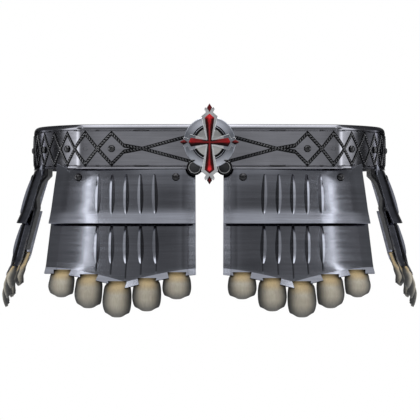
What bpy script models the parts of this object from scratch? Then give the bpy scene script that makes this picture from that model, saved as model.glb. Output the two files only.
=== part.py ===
"""A fauld: a steel hip belt with a cross medallion, and four tassets of two ribbed lames and leather lappets.

Metres, +Z up. The origin is the middle of the waist at the belt's mid-height, and the front faces -Y.
"""

import math

import bmesh
import bpy
from mathutils import Matrix, Vector

MM = 0.001

# Hip belt. Its plan is a chain of arcs from the middle of the front to the side, mirrored to the back.
BELT_HALF_WIDTH = 184
FRONT_RADIUS, FRONT_TURN = 850, math.radians(8.5)
CORNER_RADIUS, CORNER_TURN = 14, math.radians(39)
SIDE_TURN = math.radians(90) - FRONT_TURN - CORNER_TURN
BELT_WALL = 2.0
BELT_TOP, BELT_BOTTOM = 22.0, -22.0
BELT_LIP = 5.5
BELT_JOINT = 0.4
JOINT_GAP = 0.35

# Raised rope lozenges along the belt.
ROPE_MIDDLE = -2.5
ROPE_HEIGHT = 15.5
ROPE_WIDTH = 2.4
ROPE_RELIEF = 1.0
ROPE_START, ROPE_START_SPREAD = 24, 11.5
ROPE_CROSSING = 67.5
ROPE_FORK, ROPE_FORK_SPREAD = 86, 3.1
FIRST_LOZENGE, FIRST_HALF = 98.4, 14.4
SECOND_LOZENGE = 125.0
LOZENGES = 10
SIDE_LOZENGE = 7
STUD_RADIUS, STUD_HEIGHT = 3.8, 3.0
STUD_SHOULDER = 0.8
STUD_SIDES = 8

# Medallion. Depths are in front of the belt's face.
MEDAL_HEIGHT = 3.6
DISC_RADIUS = 26.0
DISC_SIDES = 26
HUB_RADIUS = 9.0
SCROLL_BACK, SCROLL_THICKNESS = 0.9, 2.2
SCROLL_MIDDLE = (14.8, -25.0)
SCROLL_OUTER, SCROLL_INNER = 8.0, 5.9
SCROLL_START, SCROLL_END = math.radians(88), math.radians(-146)
WEB_RADIUS, WEB_RISE, WEB_WALL = 7.0, 0.5, 0.8
DISC_BACK, DISC_THICKNESS = 3.5, 3.2
MOUNT_THICKNESS = 1.9
ENAMEL_BASE, ENAMEL_RIDGE = 0.7, 1.8

# Tassets. Heights are below the waist's origin, and outs are in front of the tasset's own plan curve.
TASSET_HALF_WIDTH = 72.0
LAME_WALL = 1.5
FORE_FLANGE, AFT_FLANGE = 8.5, 13.0
FLANGE_SLOPE = 0.14
HIDDEN_INSET, EAR_OUTSET = -2.7, 2.9
EAR_HEIGHT = 4.6
RIB_PITCH, RIB_COUNT = 14.05, 5
RIB_HALF_WIDTH, RIB_RELIEF = 3.2, 2.0
RIB_SHIFT, RIB_SLANT = -2.3, -0.18
RIVET_SPREAD, RIVET_DROP = 49.4, -31.0
RIVET_RADIUS, RIVET_HEIGHT = 4.0, 2.7
RIVET_LIFT, RIVET_SHOULDER = 0.45, 1.2

# The profile of each lame, from its top edge to its lip: height, out, and the ribs' share of their full size.
UPPER_PROFILE = (
    {"z": -12.0, "out": 0.0, "rib": 0.0},
    {"z": -24.2, "out": 0.3, "rib": 0.0},
    {"z": -28.0, "out": 3.6, "rib": 0.1},
    {"z": -42.0, "out": 8.9, "rib": 0.85},
    {"z": -58.0, "out": 13.8, "rib": 0.95},
    {"z": -68.0, "out": 16.9, "rib": 0.1},
    {"z": -77.3, "out": 21.4, "rib": 0.0},
)
LOWER_PROFILE = (
    {"z": -65.0, "out": 12.1, "rib": 0.0},
    {"z": -79.5, "out": 16.1, "rib": 0.1},
    {"z": -92.0, "out": 19.5, "rib": 0.85},
    {"z": -106.0, "out": 23.3, "rib": 0.95},
)
EDGE_HEIGHT, EDGE_POINT, EDGE_REACH, EDGE_POWER = -127.3, 14.0, 73.4, 1.6
LIP_HEIGHT, LIP_SLOPE, SKIRT_SLOPE = 9.0, 0.5, 0.272
LIP_OUT = 26.0
EDGE_OUT = LIP_OUT + LIP_HEIGHT * LIP_SLOPE
NOTCH_DEPTH, NOTCH_TOP, NOTCH_MOUTH, NOTCH_CUT = 4.5, 8.8, 7.6, 12

# Lappets: places along the tasset, and lengths below the lame's edge.
LAPPETS = (
    {"u": -54.6, "length": 22.4, "half_width": 13.2},
    {"u": -27.4, "length": 28.6, "half_width": 13.3},
    {"u": -0.3, "length": 31.5, "half_width": 13.5},
    {"u": 27.0, "length": 29.5, "half_width": 13.4},
    {"u": 53.8, "length": 23.2, "half_width": 13.0},
)
LAPPET_WALL = 2.6
LAPPET_ROOT = 9.0
LAPPET_GAP = 1.45
LAPPET_SPINE = 7.0
LAPPET_SIDE_GAP = 0.6
LAPPET_BELLY, LAPPET_ROUND, LAPPET_SETBACK = 2.6, 4.6, 0.4
LAPPET_ACROSS = (-1.0, -0.55, 0.55, 1.0)

# Hangers. Each row is a height, what the strip lies behind there, and its slack from it.
HANGER_HALF_WIDTH, HANGER_WALL, HANGER_GAP = 8.0, 2.5, 0.7
HANGER_STEPS = (
    {"z": 10.0, "behind": "belt", "slack": 0.0},
    {"z": -5.0, "behind": "belt", "slack": 0.0},
    {"z": -11.0, "behind": "top edge", "slack": 0.6},
    {"z": -27.0, "behind": "top edge", "slack": 0.6},
    {"z": -34.0, "behind": "upper lame", "slack": 0.9},
    {"z": -52.0, "behind": "upper lame", "slack": 0.3},
    {"z": -62.0, "behind": "lower lame", "slack": 0.4},
    {"z": -106.0, "behind": "lower lame", "slack": 0.3},
)

# Each kind of tasset: where its middle stands, which way it faces from the front, and its own curve.
TASSETS = {
    "front": {"x": 85.5, "y": -133.2, "facing": math.radians(11.1), "radius": 340, "slant": 1, "drop": 0.0},
    "side": {"x": 181.0, "y": 0.0, "facing": math.radians(90), "radius": 270, "slant": 0, "drop": 6.5},
}

FINISHES = {
    "belt_steel": {"colour": (0.34, 0.35, 0.38), "roughness": 0.30, "metallic": 1.0},
    "plate_steel": {"colour": (0.42, 0.43, 0.47), "roughness": 0.33, "metallic": 1.0},
    "mount_silver": {"colour": (0.72, 0.72, 0.72), "roughness": 0.25, "metallic": 1.0},
    "dark_steel": {"colour": (0.08, 0.08, 0.09), "roughness": 0.35, "metallic": 1.0},
    "red_enamel": {"colour": (0.45, 0.02, 0.03), "roughness": 0.18, "metallic": 0.0},
    "pale_leather": {"colour": (0.42, 0.37, 0.28), "roughness": 0.60, "metallic": 0.0},
    "strap_leather": {"colour": (0.09, 0.06, 0.04), "roughness": 0.70, "metallic": 0.0},
}


def clear_scene():
    for thing in list(bpy.data.objects):
        bpy.data.objects.remove(thing, do_unlink=True)


def make_finish(name):
    values = FINISHES[name]
    finish = bpy.data.materials.new(name)
    finish.use_nodes = True
    shader = finish.node_tree.nodes["Principled BSDF"]
    shader.inputs["Base Color"].default_value = (*values["colour"], 1)
    shader.inputs["Roughness"].default_value = values["roughness"]
    shader.inputs["Metallic"].default_value = values["metallic"]
    return finish


def add_object(name, bm, finish=None):
    """Makes an object of a bmesh whose points are in millimetres."""
    bmesh.ops.scale(bm, vec=(MM, MM, MM), verts=bm.verts)
    mesh = bpy.data.meshes.new(name)
    bm.to_mesh(mesh)
    bm.free()
    if finish:
        mesh.materials.append(finish)
    thing = bpy.data.objects.new(name, mesh)
    bpy.context.scene.collection.objects.link(thing)
    return thing


def face_out(bm):
    """Turns every face of a closed mesh outwards."""
    bmesh.ops.recalc_face_normals(bm, faces=bm.faces)
    if bm.calc_volume(signed=True) < 0:
        bmesh.ops.reverse_faces(bm, faces=bm.faces)


def add_prism(bm, outline, place_low, place_high):
    """Joins to bm a closed prism whose outline's points go through place_low and place_high."""
    low = [bm.verts.new(place_low(*point)) for point in outline]
    high = [bm.verts.new(place_high(*point)) for point in outline]
    bm.faces.new(low)
    bm.faces.new(high)
    for i in range(len(outline)):
        j = (i + 1) % len(outline)
        bm.faces.new((low[i], low[j], high[j], high[i]))
    face_out(bm)


def boolean(thing, other, operation):
    """Joins or cuts thing with other, which is then removed, and keeps the result as thing's mesh."""
    step = thing.modifiers.new(operation.lower(), "BOOLEAN")
    step.operation = operation
    step.solver = "EXACT"
    step.object = other
    other.hide_render = True
    other.display_type = "WIRE"
    graph = bpy.context.evaluated_depsgraph_get()
    mesh = bpy.data.meshes.new_from_object(thing.evaluated_get(graph))
    thing.modifiers.remove(step)
    thing.data = mesh
    bpy.data.objects.remove(other, do_unlink=True)


def add_turned(bm, profile, sides, foot, along, up, front):
    """Joins to bm a turned solid. profile is (radius, rise), foot first; its crown is flat or pointed."""
    loops = []
    for radius, rise in profile:
        if radius == 0:
            break
        loop = []
        for k in range(sides):
            angle = 2 * math.pi * (k + 0.5) / sides
            spread = along * math.cos(angle) + up * math.sin(angle)
            loop.append(bm.verts.new(foot + spread * radius + front * rise))
        loops.append(loop)
    bm.faces.new(loops[0])
    for low, high in zip(loops, loops[1:]):
        for k in range(sides):
            n = (k + 1) % sides
            bm.faces.new((low[k], low[n], high[n], high[k]))
    if profile[-1][0]:
        bm.faces.new(loops[-1])
        return
    crown = bm.verts.new(foot + front * profile[-1][1])
    for k in range(sides):
        bm.faces.new((loops[-1][k], loops[-1][(k + 1) % sides], crown))


def dome_profile(radius, foot, shoulder, height):
    """A domed head, as (radius, rise): its straight side, one facet ring, and its crown."""
    middle = shoulder + (height - shoulder) * 0.75
    return ((radius, foot), (radius, shoulder), (radius * 0.72, middle), (0, height))


def mirrored(thing, name):
    """A copy of thing on the wearer's other side, with its own mesh and its faces turned back out."""
    mesh = thing.data.copy()
    mesh.transform(Matrix.Scale(-1, 4, (1, 0, 0)))
    mesh.flip_normals()
    twin = thing.copy()
    twin.data = mesh
    twin.name = name
    bpy.context.scene.collection.objects.link(twin)
    return twin


# The belt's plan


def side_radius():
    """The side arc's radius, which makes the quarter plan end at the belt's half-width."""
    corner_end = FRONT_TURN + CORNER_TURN
    reach = FRONT_RADIUS * math.sin(FRONT_TURN)
    reach += CORNER_RADIUS * (math.sin(corner_end) - math.sin(FRONT_TURN))
    return (BELT_HALF_WIDTH - reach) / (1 - math.sin(corner_end))


def quarter_arcs():
    return ((FRONT_RADIUS, FRONT_TURN), (CORNER_RADIUS, CORNER_TURN), (side_radius(), SIDE_TURN))


def walk(s):
    """Place and heading after a length s along the belt, from the middle of its front as the origin."""
    x = y = heading = 0.0
    left = s
    arcs = quarter_arcs() + tuple(reversed(quarter_arcs()))
    for radius, turn in arcs:
        step = min(left / radius, turn)
        x += radius * (math.sin(heading + step) - math.sin(heading))
        y += radius * (math.cos(heading) - math.cos(heading + step))
        heading += step
        left -= step * radius
        if left <= 1e-9:
            break
    return x, y, heading


QUARTER = sum(radius * turn for radius, turn in quarter_arcs())
BELT_HALF_DEPTH = walk(QUARTER)[1]


def belt_point(s, out, z):
    """The point at a length s round the belt's left half, a distance out from its outer face."""
    x, y, heading = walk(s)
    return Vector((x + out * math.sin(heading), y - BELT_HALF_DEPTH - out * math.cos(heading), z))


def belt_stations():
    """The lengths at which the belt bends: few on the front and back, close together round the corners."""
    arcs = quarter_arcs()
    steps = (4, 4, 6)
    stations = []
    start = 0.0
    for (radius, turn), count in zip(arcs, steps):
        stations += [start + radius * turn * i / count for i in range(count)]
        start += radius * turn
    return stations + [QUARTER] + [2 * QUARTER - s for s in reversed(stations[1:])]


def lozenge_pitch():
    """The pitch from the second lozenge on, which puts one in the middle of the side."""
    return (QUARTER - SECOND_LOZENGE) / (SIDE_LOZENGE - 1)


def lozenge_middle(i):
    return SECOND_LOZENGE + (i - 1) * lozenge_pitch() if i else FIRST_LOZENGE


def lozenge_end(i):
    return lozenge_middle(i) + lozenge_pitch() / 2 if i else FIRST_LOZENGE + FIRST_HALF


def rope_line(sign):
    """One rope's middle line, as (s, z): from the medallion through the crossing, then round the lozenges."""
    spreads = [(ROPE_START, ROPE_START_SPREAD), (ROPE_CROSSING, 0.0), (ROPE_FORK, -ROPE_FORK_SPREAD)]
    for i in range(LOZENGES):
        spreads.append((lozenge_middle(i), -ROPE_HEIGHT * (-1) ** i))
        spreads.append((lozenge_end(i), 0.0))
    return [(s, ROPE_MIDDLE + sign * spread) for s, spread in spreads]


def add_rope(sign, relief):
    """A rope as a flat ribbon that zigzags along the strip the belt is rolled from."""
    line = rope_line(sign)
    reach = []
    for i, (s, z) in enumerate(line):
        before = line[max(i - 1, 0)]
        after = line[min(i + 1, len(line) - 1)]
        lengths = [math.dist((s, z), other) / abs(other[0] - s) for other in (before, after) if other[0] != s]
        reach.append(ROPE_WIDTH / 2 * sum(lengths) / len(lengths))
    outline = [(s, z + r) for (s, z), r in zip(line, reach)]
    outline += [(s, z - r) for (s, z), r in zip(reversed(line), reversed(reach))]
    bm = bmesh.new()
    add_prism(bm, outline, lambda s, z: (s, -BELT_WALL / 2, z), lambda s, z: (s, relief, z))
    return add_object("rope", bm)


def add_studs():
    """The domed studs in every second lozenge, as low turned buttons on the strip."""
    bm = bmesh.new()
    profile = dome_profile(STUD_RADIUS, -BELT_WALL / 2, STUD_SHOULDER, STUD_HEIGHT)
    along, up, front = Vector((1, 0, 0)), Vector((0, 0, 1)), Vector((0, 1, 0))
    for i in range(0, LOZENGES, 2):
        foot = Vector((lozenge_middle(i), 0, ROPE_MIDDLE))
        add_turned(bm, profile, STUD_SIDES, foot, along, up, front)
    face_out(bm)
    return add_object("studs", bm)


def add_belt(finish):
    """Half the belt, made as a flat strip with its relief, then rolled round the plan."""
    lip, wall = BELT_LIP, BELT_WALL
    bend = 1 - math.sqrt(0.5)
    section = (
        (-wall, BELT_BOTTOM),
        (-0.6, BELT_BOTTOM),
        (0.0, BELT_BOTTOM + 0.6),
        (0.0, BELT_TOP - lip),
        (-lip * bend, BELT_TOP - lip * bend),
        (-lip, BELT_TOP),
        (-lip, BELT_TOP - wall),
        (-lip * bend - wall * 0.7, BELT_TOP - lip * bend - wall * 0.7),
        (-wall, BELT_TOP - lip),
    )
    bm = bmesh.new()
    ends = (BELT_JOINT, 2 * QUARTER - BELT_JOINT)
    add_prism(bm, section, lambda out, z: (ends[0], out, z), lambda out, z: (ends[1], out, z))
    belt = add_object("belt_left", bm)
    boolean(belt, add_rope(1, ROPE_RELIEF), "UNION")
    boolean(belt, add_rope(-1, ROPE_RELIEF * 0.9), "UNION")
    boolean(belt, add_studs(), "UNION")
    bm = bmesh.new()
    bm.from_mesh(belt.data)
    bmesh.ops.scale(bm, vec=(1 / MM, 1 / MM, 1 / MM), verts=bm.verts)
    bmesh.ops.triangulate(bm, faces=bm.faces)
    bmesh.ops.dissolve_limit(bm, angle_limit=0.001, verts=bm.verts, edges=bm.edges)
    for s in belt_stations():
        parts = bm.verts[:] + bm.edges[:] + bm.faces[:]
        bmesh.ops.bisect_plane(bm, geom=parts, dist=1e-4, plane_co=(s, 0, 0), plane_no=(1, 0, 0))
    bmesh.ops.triangulate(bm, faces=bm.faces)
    for vert in bm.verts:
        s, out, z = vert.co
        vert.co = belt_point(s, out, z)
    face_out(bm)
    bpy.data.objects.remove(belt, do_unlink=True)
    belt = add_object("belt_left", bm, finish)
    mirrored(belt, "belt_right")


def add_back_clasp(finish):
    """The plain plate over the joint at the back."""
    half_width, half_height, thickness, cut = 24.0, 16.0, 2.2, 5.0
    outline = []
    for sx, sz in ((1, 1), (-1, 1), (-1, -1), (1, -1)):
        corner = [(sx * half_width, sz * (half_height - cut)), (sx * (half_width - cut), sz * half_height)]
        outline += corner if sx * sz > 0 else corner[::-1]
    back = BELT_HALF_DEPTH + JOINT_GAP
    bm = bmesh.new()
    add_prism(bm, outline, lambda x, z: (x, back, z), lambda x, z: (x, back + thickness, z))
    add_object("back_clasp", bm, finish)


# The medallion


def medal_point(x, depth, z):
    return Vector((x, -BELT_HALF_DEPTH - depth, MEDAL_HEIGHT + z))


def add_disc(finish):
    """The turned disc, with its hub against the belt, a ring groove and a bevelled rim."""
    top = DISC_BACK + DISC_THICKNESS
    rim = DISC_RADIUS
    profile = (
        (HUB_RADIUS, JOINT_GAP),
        (HUB_RADIUS, DISC_BACK),
        (rim - 0.8, DISC_BACK),
        (rim, DISC_BACK + 0.8),
        (rim, top - 0.7),
        (rim - 0.7, top),
        (18.0, top),
        (17.6, top - 1.0),
        (15.4, top - 1.0),
        (14.8, top - 0.3),
    )
    bm = bmesh.new()
    middle, right, up, front = medal_point(0, 0, 0), Vector((1, 0, 0)), Vector((0, 0, 1)), Vector((0, -1, 0))
    add_turned(bm, profile, DISC_SIDES, middle, right, up, front)
    face_out(bm)
    add_object("boss_disc", bm, finish)


# Half of each arm of the mount's outline: along the arm from the middle, and across it.
MOUNT_ARM = (("crook", 3.2), ("shoulder", 8.3), ("neck", 3.6), ("wing", 5.3), ("horn", 4.2), ("tip", 1.6))
MOUNT_REACH = {
    "up": {"crook": 3.8, "shoulder": 25.8, "neck": 29.7, "wing": 32.8, "horn": 35.2, "tip": 33.4},
    "down": {"crook": 3.8, "shoulder": 29.0, "neck": 32.7, "wing": 35.8, "horn": 38.2, "tip": 36.4},
    "across": {"crook": 3.2, "shoulder": 19.4, "neck": 21.6, "wing": 24.0, "horn": 26.4, "tip": 24.8},
}
ENAMEL_ARM = {
    "up": {"tip": 28.5, "shoulder": 24.4, "half": 4.9},
    "down": {"tip": 31.5, "shoulder": 27.6, "half": 4.9},
    "across": {"tip": 21.0, "shoulder": 18.6, "half": 4.4},
}
ENAMEL_CROOK = 1.9
DIAMOND_PLACES = {
    "top": {"x": 0, "z": 34.4, "half": 2.7, "length": 4.3, "upright": True},
    "bottom": {"x": 0, "z": -37.9, "half": 2.7, "length": 4.3, "upright": True},
    "left": {"x": 25.6, "z": 0, "half": 2.5, "length": 4.2, "upright": False},
    "right": {"x": -25.6, "z": 0, "half": 2.5, "length": 4.2, "upright": False},
}
ARM_TURNS = (("up", 0), ("across", 1), ("down", 2), ("across", 3))


def turned(along, across, quarter_turns):
    """A point of an arm that points up, turned clockwise by quarter turns as seen from the front."""
    x, z = across, along
    for _ in range(quarter_turns):
        x, z = z, -x
    return x, z


def mount_outline():
    outline = []
    for kind, turns in ARM_TURNS:
        reach = MOUNT_REACH[kind]
        left = [turned(reach[name], -across, turns) for name, across in MOUNT_ARM]
        right = [turned(reach[name], across, turns) for name, across in reversed(MOUNT_ARM[1:])]
        outline += left + right
    return outline


def add_mount(finish):
    back = DISC_BACK + DISC_THICKNESS + JOINT_GAP
    front = back + MOUNT_THICKNESS
    outline = mount_outline()
    bm = bmesh.new()
    add_prism(bm, outline, lambda x, z: medal_point(x, back, z), lambda x, z: medal_point(x, front, z))
    add_object("cross_mount", bm, finish)


def enamel_back():
    return DISC_BACK + DISC_THICKNESS + MOUNT_THICKNESS + 2 * JOINT_GAP


def add_enamel(finish):
    """The red cross, whose four arms each rise to a ridge."""
    back = enamel_back()
    edge = back + ENAMEL_BASE
    crest = edge + ENAMEL_RIDGE
    bm = bmesh.new()

    def vert(x, z, depth):
        return bm.verts.new(medal_point(x, depth, z))

    crooks = [turned(ENAMEL_CROOK, ENAMEL_CROOK, turns) for _, turns in ARM_TURNS]
    crook_verts = [vert(x, z, edge) for x, z in crooks]
    middle = vert(0, 0, crest)
    rim = []
    for i, (kind, turns) in enumerate(ARM_TURNS):
        arm = ENAMEL_ARM[kind]
        left = vert(*turned(arm["shoulder"], -arm["half"], turns), edge)
        tip = vert(*turned(arm["tip"], 0, turns), edge)
        right = vert(*turned(arm["shoulder"], arm["half"], turns), edge)
        ridge = vert(*turned(arm["shoulder"], 0, turns), crest)
        bm.faces.new((crook_verts[i - 1], left, ridge, middle))
        bm.faces.new((left, tip, ridge))
        bm.faces.new((tip, right, ridge))
        bm.faces.new((ridge, right, crook_verts[i], middle))
        rim += [crook_verts[i - 1], left, tip, right]
    base = [bm.verts.new(v.co + Vector((0, ENAMEL_BASE, 0))) for v in rim]
    bm.faces.new(base)
    for i in range(len(rim)):
        j = (i + 1) % len(rim)
        bm.faces.new((rim[i], rim[j], base[j], base[i]))
    face_out(bm)
    add_object("cross_enamel", bm, finish)


def add_diamonds(finish):
    back = enamel_back()
    edge = back + ENAMEL_BASE
    for name, place in DIAMOND_PLACES.items():
        bm = bmesh.new()
        reach = (place["half"], place["length"]) if place["upright"] else (place["length"], place["half"])
        corners = ((reach[0], 0), (0, reach[1]), (-reach[0], 0), (0, -reach[1]))
        points = [(place["x"] + x, place["z"] + z) for x, z in corners]
        low = [bm.verts.new(medal_point(x, back, z)) for x, z in points]
        high = [bm.verts.new(medal_point(x, edge, z)) for x, z in points]
        crown = bm.verts.new(medal_point(place["x"], edge + ENAMEL_RIDGE, place["z"]))
        bm.faces.new(low)
        for i in range(4):
            j = (i + 1) % 4
            bm.faces.new((low[i], low[j], high[j], high[i]))
            bm.faces.new((high[i], high[j], crown))
        face_out(bm)
        add_object("diamond_" + name, bm, finish)


def add_scrolls(finish):
    """The scrolls: a curved bar round a thin web, behind the disc's lower edge."""
    middle = Vector(SCROLL_MIDDLE)
    steps = 13
    angles = [SCROLL_START + (SCROLL_END - SCROLL_START) * i / steps for i in range(steps + 1)]
    widths = [SCROLL_OUTER - (SCROLL_OUTER - SCROLL_INNER) * min(1, (i + 1.2) / 4) for i in range(steps + 1)]
    ring = [(middle.x + SCROLL_OUTER * math.cos(a), middle.y + SCROLL_OUTER * math.sin(a)) for a in angles]
    hollow = [(middle.x + w * math.cos(a), middle.y + w * math.sin(a)) for a, w in zip(angles, widths)]
    back = SCROLL_BACK
    front = back + SCROLL_THICKNESS
    bm = bmesh.new()
    outline = ring + hollow[::-1]
    add_prism(bm, outline, lambda x, z: medal_point(x, back, z), lambda x, z: medal_point(x, front, z))
    scroll = add_object("scroll_left", bm, finish)
    web = [(middle.x + WEB_RADIUS * math.cos(a), middle.y + WEB_RADIUS * math.sin(a)) for a in angles]
    low = back + WEB_RISE
    high = low + WEB_WALL
    bm = bmesh.new()
    add_prism(bm, web, lambda x, z: medal_point(x, low, z), lambda x, z: medal_point(x, high, z))
    boolean(scroll, add_object("web", bm, finish), "UNION")
    mirrored(scroll, "scroll_right")


# The tassets


def tasset_point(kind, u, out, z):
    """The point a length u along a left tasset from its middle, a distance out from its plan curve."""
    row = TASSETS[kind]
    heading = row["facing"] + u / row["radius"]
    middle = row["facing"]
    x = row["x"] + row["radius"] * (math.sin(heading) - math.sin(middle))
    y = row["y"] + row["radius"] * (math.cos(middle) - math.cos(heading))
    return Vector((x + out * math.sin(heading), y - out * math.cos(heading), z))


BELT_SAMPLES = [walk(QUARTER * 2 * i / 1600) for i in range(1601)]


def beside_belt(point, outset, outside):
    """Moves a point off the belt's wall: outside it by at least outset, or else no further out than that."""
    best = min(BELT_SAMPLES, key=lambda w: (w[0] - point.x) ** 2 + (w[1] - BELT_HALF_DEPTH - point.y) ** 2)
    x, y, heading = best
    normal = Vector((math.sin(heading), -math.cos(heading), 0))
    foot = Vector((x, y - BELT_HALF_DEPTH, point.z))
    now = (point - foot).dot(normal)
    wanted = max(now, outset) if outside else min(now, outset)
    return point + normal * (wanted - now)


def profile_out(profile, z):
    """The out of a lame's profile at a height."""
    for above, below in zip(profile, profile[1:]):
        if z >= below["z"]:
            share = (above["z"] - z) / (above["z"] - below["z"])
            return above["out"] + share * (below["out"] - above["out"])
    last = profile[-1]
    return last["out"] + (last["z"] - z) * SKIRT_SLOPE


def rib_middle(kind, out):
    """Where the ribs' middle line runs, at a distance out. It slants on a front tasset, to hang upright."""
    return TASSETS[kind]["slant"] * (RIB_SHIFT + RIB_SLANT * out)


def edge_height(kind, u):
    """The lower lame's pointed bottom edge."""
    centre = rib_middle(kind, EDGE_OUT)
    share = max(0.0, 1 - abs(u - centre) / EDGE_REACH)
    return EDGE_HEIGHT + TASSETS[kind]["drop"] - EDGE_POINT * share**EDGE_POWER


def flange_sink(u):
    """How far the flanges at the side edges bend back."""
    over = max(0.0, u - (TASSET_HALF_WIDTH - AFT_FLANGE), -u - (TASSET_HALF_WIDTH - FORE_FLANGE))
    return over * FLANGE_SLOPE


def lame_columns(kind, out, size):
    """(u, rib) for each column of a lame's grid, where rib is the relief there. size is the ribs' share."""
    middle = rib_middle(kind, out)
    half = TASSET_HALF_WIDTH
    columns = [(-half, 0.0), (-half + FORE_FLANGE, 0.0), (-half + FORE_FLANGE + 11, 0.0)]
    for i in range(RIB_COUNT):
        u = middle + (i - (RIB_COUNT - 1) / 2) * RIB_PITCH
        width = 0.5 + RIB_HALF_WIDTH * size
        columns += [(u - width, 0.0), (u, RIB_RELIEF * size), (u + width, 0.0)]
    columns += [(half - AFT_FLANGE - step, 0.0) for step in (16, 0)] + [(half, 0.0)]
    return columns


def add_sheet(name, rows, wall, finish, missing=()):
    """A sheet through rows of points, top to bottom and fore to aft, with its wall laid inwards."""
    bm = bmesh.new()
    grid = [[bm.verts.new(point) for point in row] for row in rows]
    for i in range(len(grid) - 1):
        for j in range(len(grid[0]) - 1):
            if (i, j) not in missing:
                bm.faces.new((grid[i][j], grid[i + 1][j], grid[i + 1][j + 1], grid[i][j + 1]))
    loose = [vert for vert in bm.verts if not vert.link_faces]
    bmesh.ops.delete(bm, geom=loose, context="VERTS")
    thing = add_object(name, bm, finish)
    solidify = thing.modifiers.new("wall", "SOLIDIFY")
    solidify.thickness = wall * MM
    solidify.offset = -1
    graph = bpy.context.evaluated_depsgraph_get()
    mesh = bpy.data.meshes.new_from_object(thing.evaluated_get(graph))
    thing.modifiers.remove(solidify)
    thing.data = mesh
    return thing


def add_upper_lame(kind, finish):
    """The upper lame. Its top goes up behind the belt, and an ear of its flange laps up outside it."""
    rows = []
    for i, step in enumerate(UPPER_PROFILE):
        columns = lame_columns(kind, step["out"], step["rib"])
        last = len(columns) - 1
        ears = {last: True, last - 1: False}
        if kind == "side":
            ears.update({0: True, 1: False})
        row = []
        for j, (u, rib) in enumerate(columns):
            z = step["z"]
            if i == 0 and j in ears:
                z = BELT_BOTTOM + (EAR_HEIGHT if ears[j] else -1.0)
            point = tasset_point(kind, u, step["out"] + rib - flange_sink(u), z)
            if i <= 1 and j in ears:
                point = beside_belt(point, EAR_OUTSET, True)
            elif i <= 1:
                point = beside_belt(point, HIDDEN_INSET, False)
            row.append(point)
        rows.append(row)
    last = len(rows[0]) - 2
    missing = [(0, last - 1)]
    if kind == "side":
        missing.append((0, 1))
    return add_sheet(f"upper_lame_{kind}_left", rows, LAME_WALL, finish, missing)


def lower_rows(kind):
    """The lower lame's rows: its profile, the bend above the lip, and the pointed edge."""
    drop = TASSETS[kind]["drop"]
    rows = []
    for step in LOWER_PROFILE:
        columns = lame_columns(kind, step["out"], step["rib"])
        z = step["z"] + (drop if step["z"] < -100 else 0.0)
        out = profile_out(LOWER_PROFILE, z)
        rows.append([tasset_point(kind, u, out + rib - flange_sink(u), z) for u, rib in columns])
    for below in (LIP_HEIGHT, 0.0):
        row = []
        guess = LIP_OUT + (LIP_HEIGHT - below) * LIP_SLOPE
        for u, _ in lame_columns(kind, guess, 0.1 if below else 0.0):
            z = edge_height(kind, u) + below
            row.append(tasset_point(kind, u, lip_out(kind, u, z) - flange_sink(u), z))
        rows.append(row)
    return rows


def lip_out(kind, u, z):
    """The lower lame's out near its edge, where the lip turns out more."""
    bend = edge_height(kind, u) + LIP_HEIGHT
    out = profile_out(LOWER_PROFILE, max(z, bend))
    return out + max(0.0, bend - z) * LIP_SLOPE


def add_lower_lame(kind, finish):
    lame = add_sheet(f"lower_lame_{kind}_left", lower_rows(kind), LAME_WALL, finish)
    bm = bmesh.new()
    for lappet in LAPPETS:
        u = lappet["u"]
        edge = edge_height(kind, u)
        low = edge - NOTCH_CUT
        flare = (NOTCH_TOP - NOTCH_MOUTH) / NOTCH_DEPTH
        mouth = NOTCH_TOP - flare * (edge + NOTCH_DEPTH - low)
        high = edge + NOTCH_DEPTH
        outline = ((u - NOTCH_TOP, high), (u + NOTCH_TOP, high), (u + mouth, low), (u - mouth, low))
        out = lip_out(kind, u, edge)
        add_prism(
            bm,
            outline,
            lambda a, z: tasset_point(kind, a, out - NOTCH_CUT, z),
            lambda a, z: tasset_point(kind, a, out + NOTCH_CUT, z),
        )
    boolean(lame, add_object("notches", bm), "DIFFERENCE")
    return lame


def lappet_rows(kind, lappet):
    """A lappet's outer face: a narrow root behind the lame, shoulders, a barrel-shaped body, a round end."""
    u = lappet["u"]
    edge = edge_height(kind, u)
    length = lappet["length"]
    full = lappet["half_width"]
    neck = NOTCH_TOP - LAPPET_SIDE_GAP
    lip = lip_out(kind, u, edge)
    table = (
        {"below": -NOTCH_DEPTH - LAPPET_ROOT, "half": neck, "out": lip},
        {"below": -NOTCH_DEPTH, "half": neck, "out": lip},
        {"below": -0.6, "half": full - 1.6, "out": lip},
        {"below": length * 0.2, "half": full - 0.4, "out": lip + 1.2},
        {"below": length * 0.5, "half": full, "out": lip + LAPPET_SPINE - 2.6},
        {"below": length * 0.8, "half": full - 1.6, "out": lip + LAPPET_SPINE - 3.8},
        {"below": length, "half": full - 5.2, "out": lip + LAPPET_SPINE - 6.2},
    )
    rows = []
    for i, step in enumerate(table):
        row = []
        belly = LAPPET_BELLY * min(1.0, max(0.0, i - 1) / 2)
        rise = LAPPET_ROUND if i == len(table) - 1 else 0.0
        for across in LAPPET_ACROSS:
            place = u + step["half"] * across
            bow = across**2 - LAPPET_ACROSS[1] ** 2
            z = edge - step["below"] + rise * bow
            out = step["out"] - belly * bow - LAPPET_SETBACK
            if i < 3:
                out = lip_out(kind, place, z) - flange_sink(place) - LAME_WALL - LAPPET_GAP
            row.append(tasset_point(kind, place, out, z))
        rows.append(row)
    return rows


def add_lappets(kind, finish):
    made = []
    for i, lappet in enumerate(LAPPETS, 1):
        name = f"lappet_{kind}_left_{i}"
        made.append(add_sheet(name, lappet_rows(kind, lappet), LAPPET_WALL, finish))
    return made


def rivet_places(kind):
    middle = rib_middle(kind, 4.8)
    return {"fore": middle - RIVET_SPREAD, "aft": middle + RIVET_SPREAD}


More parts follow.
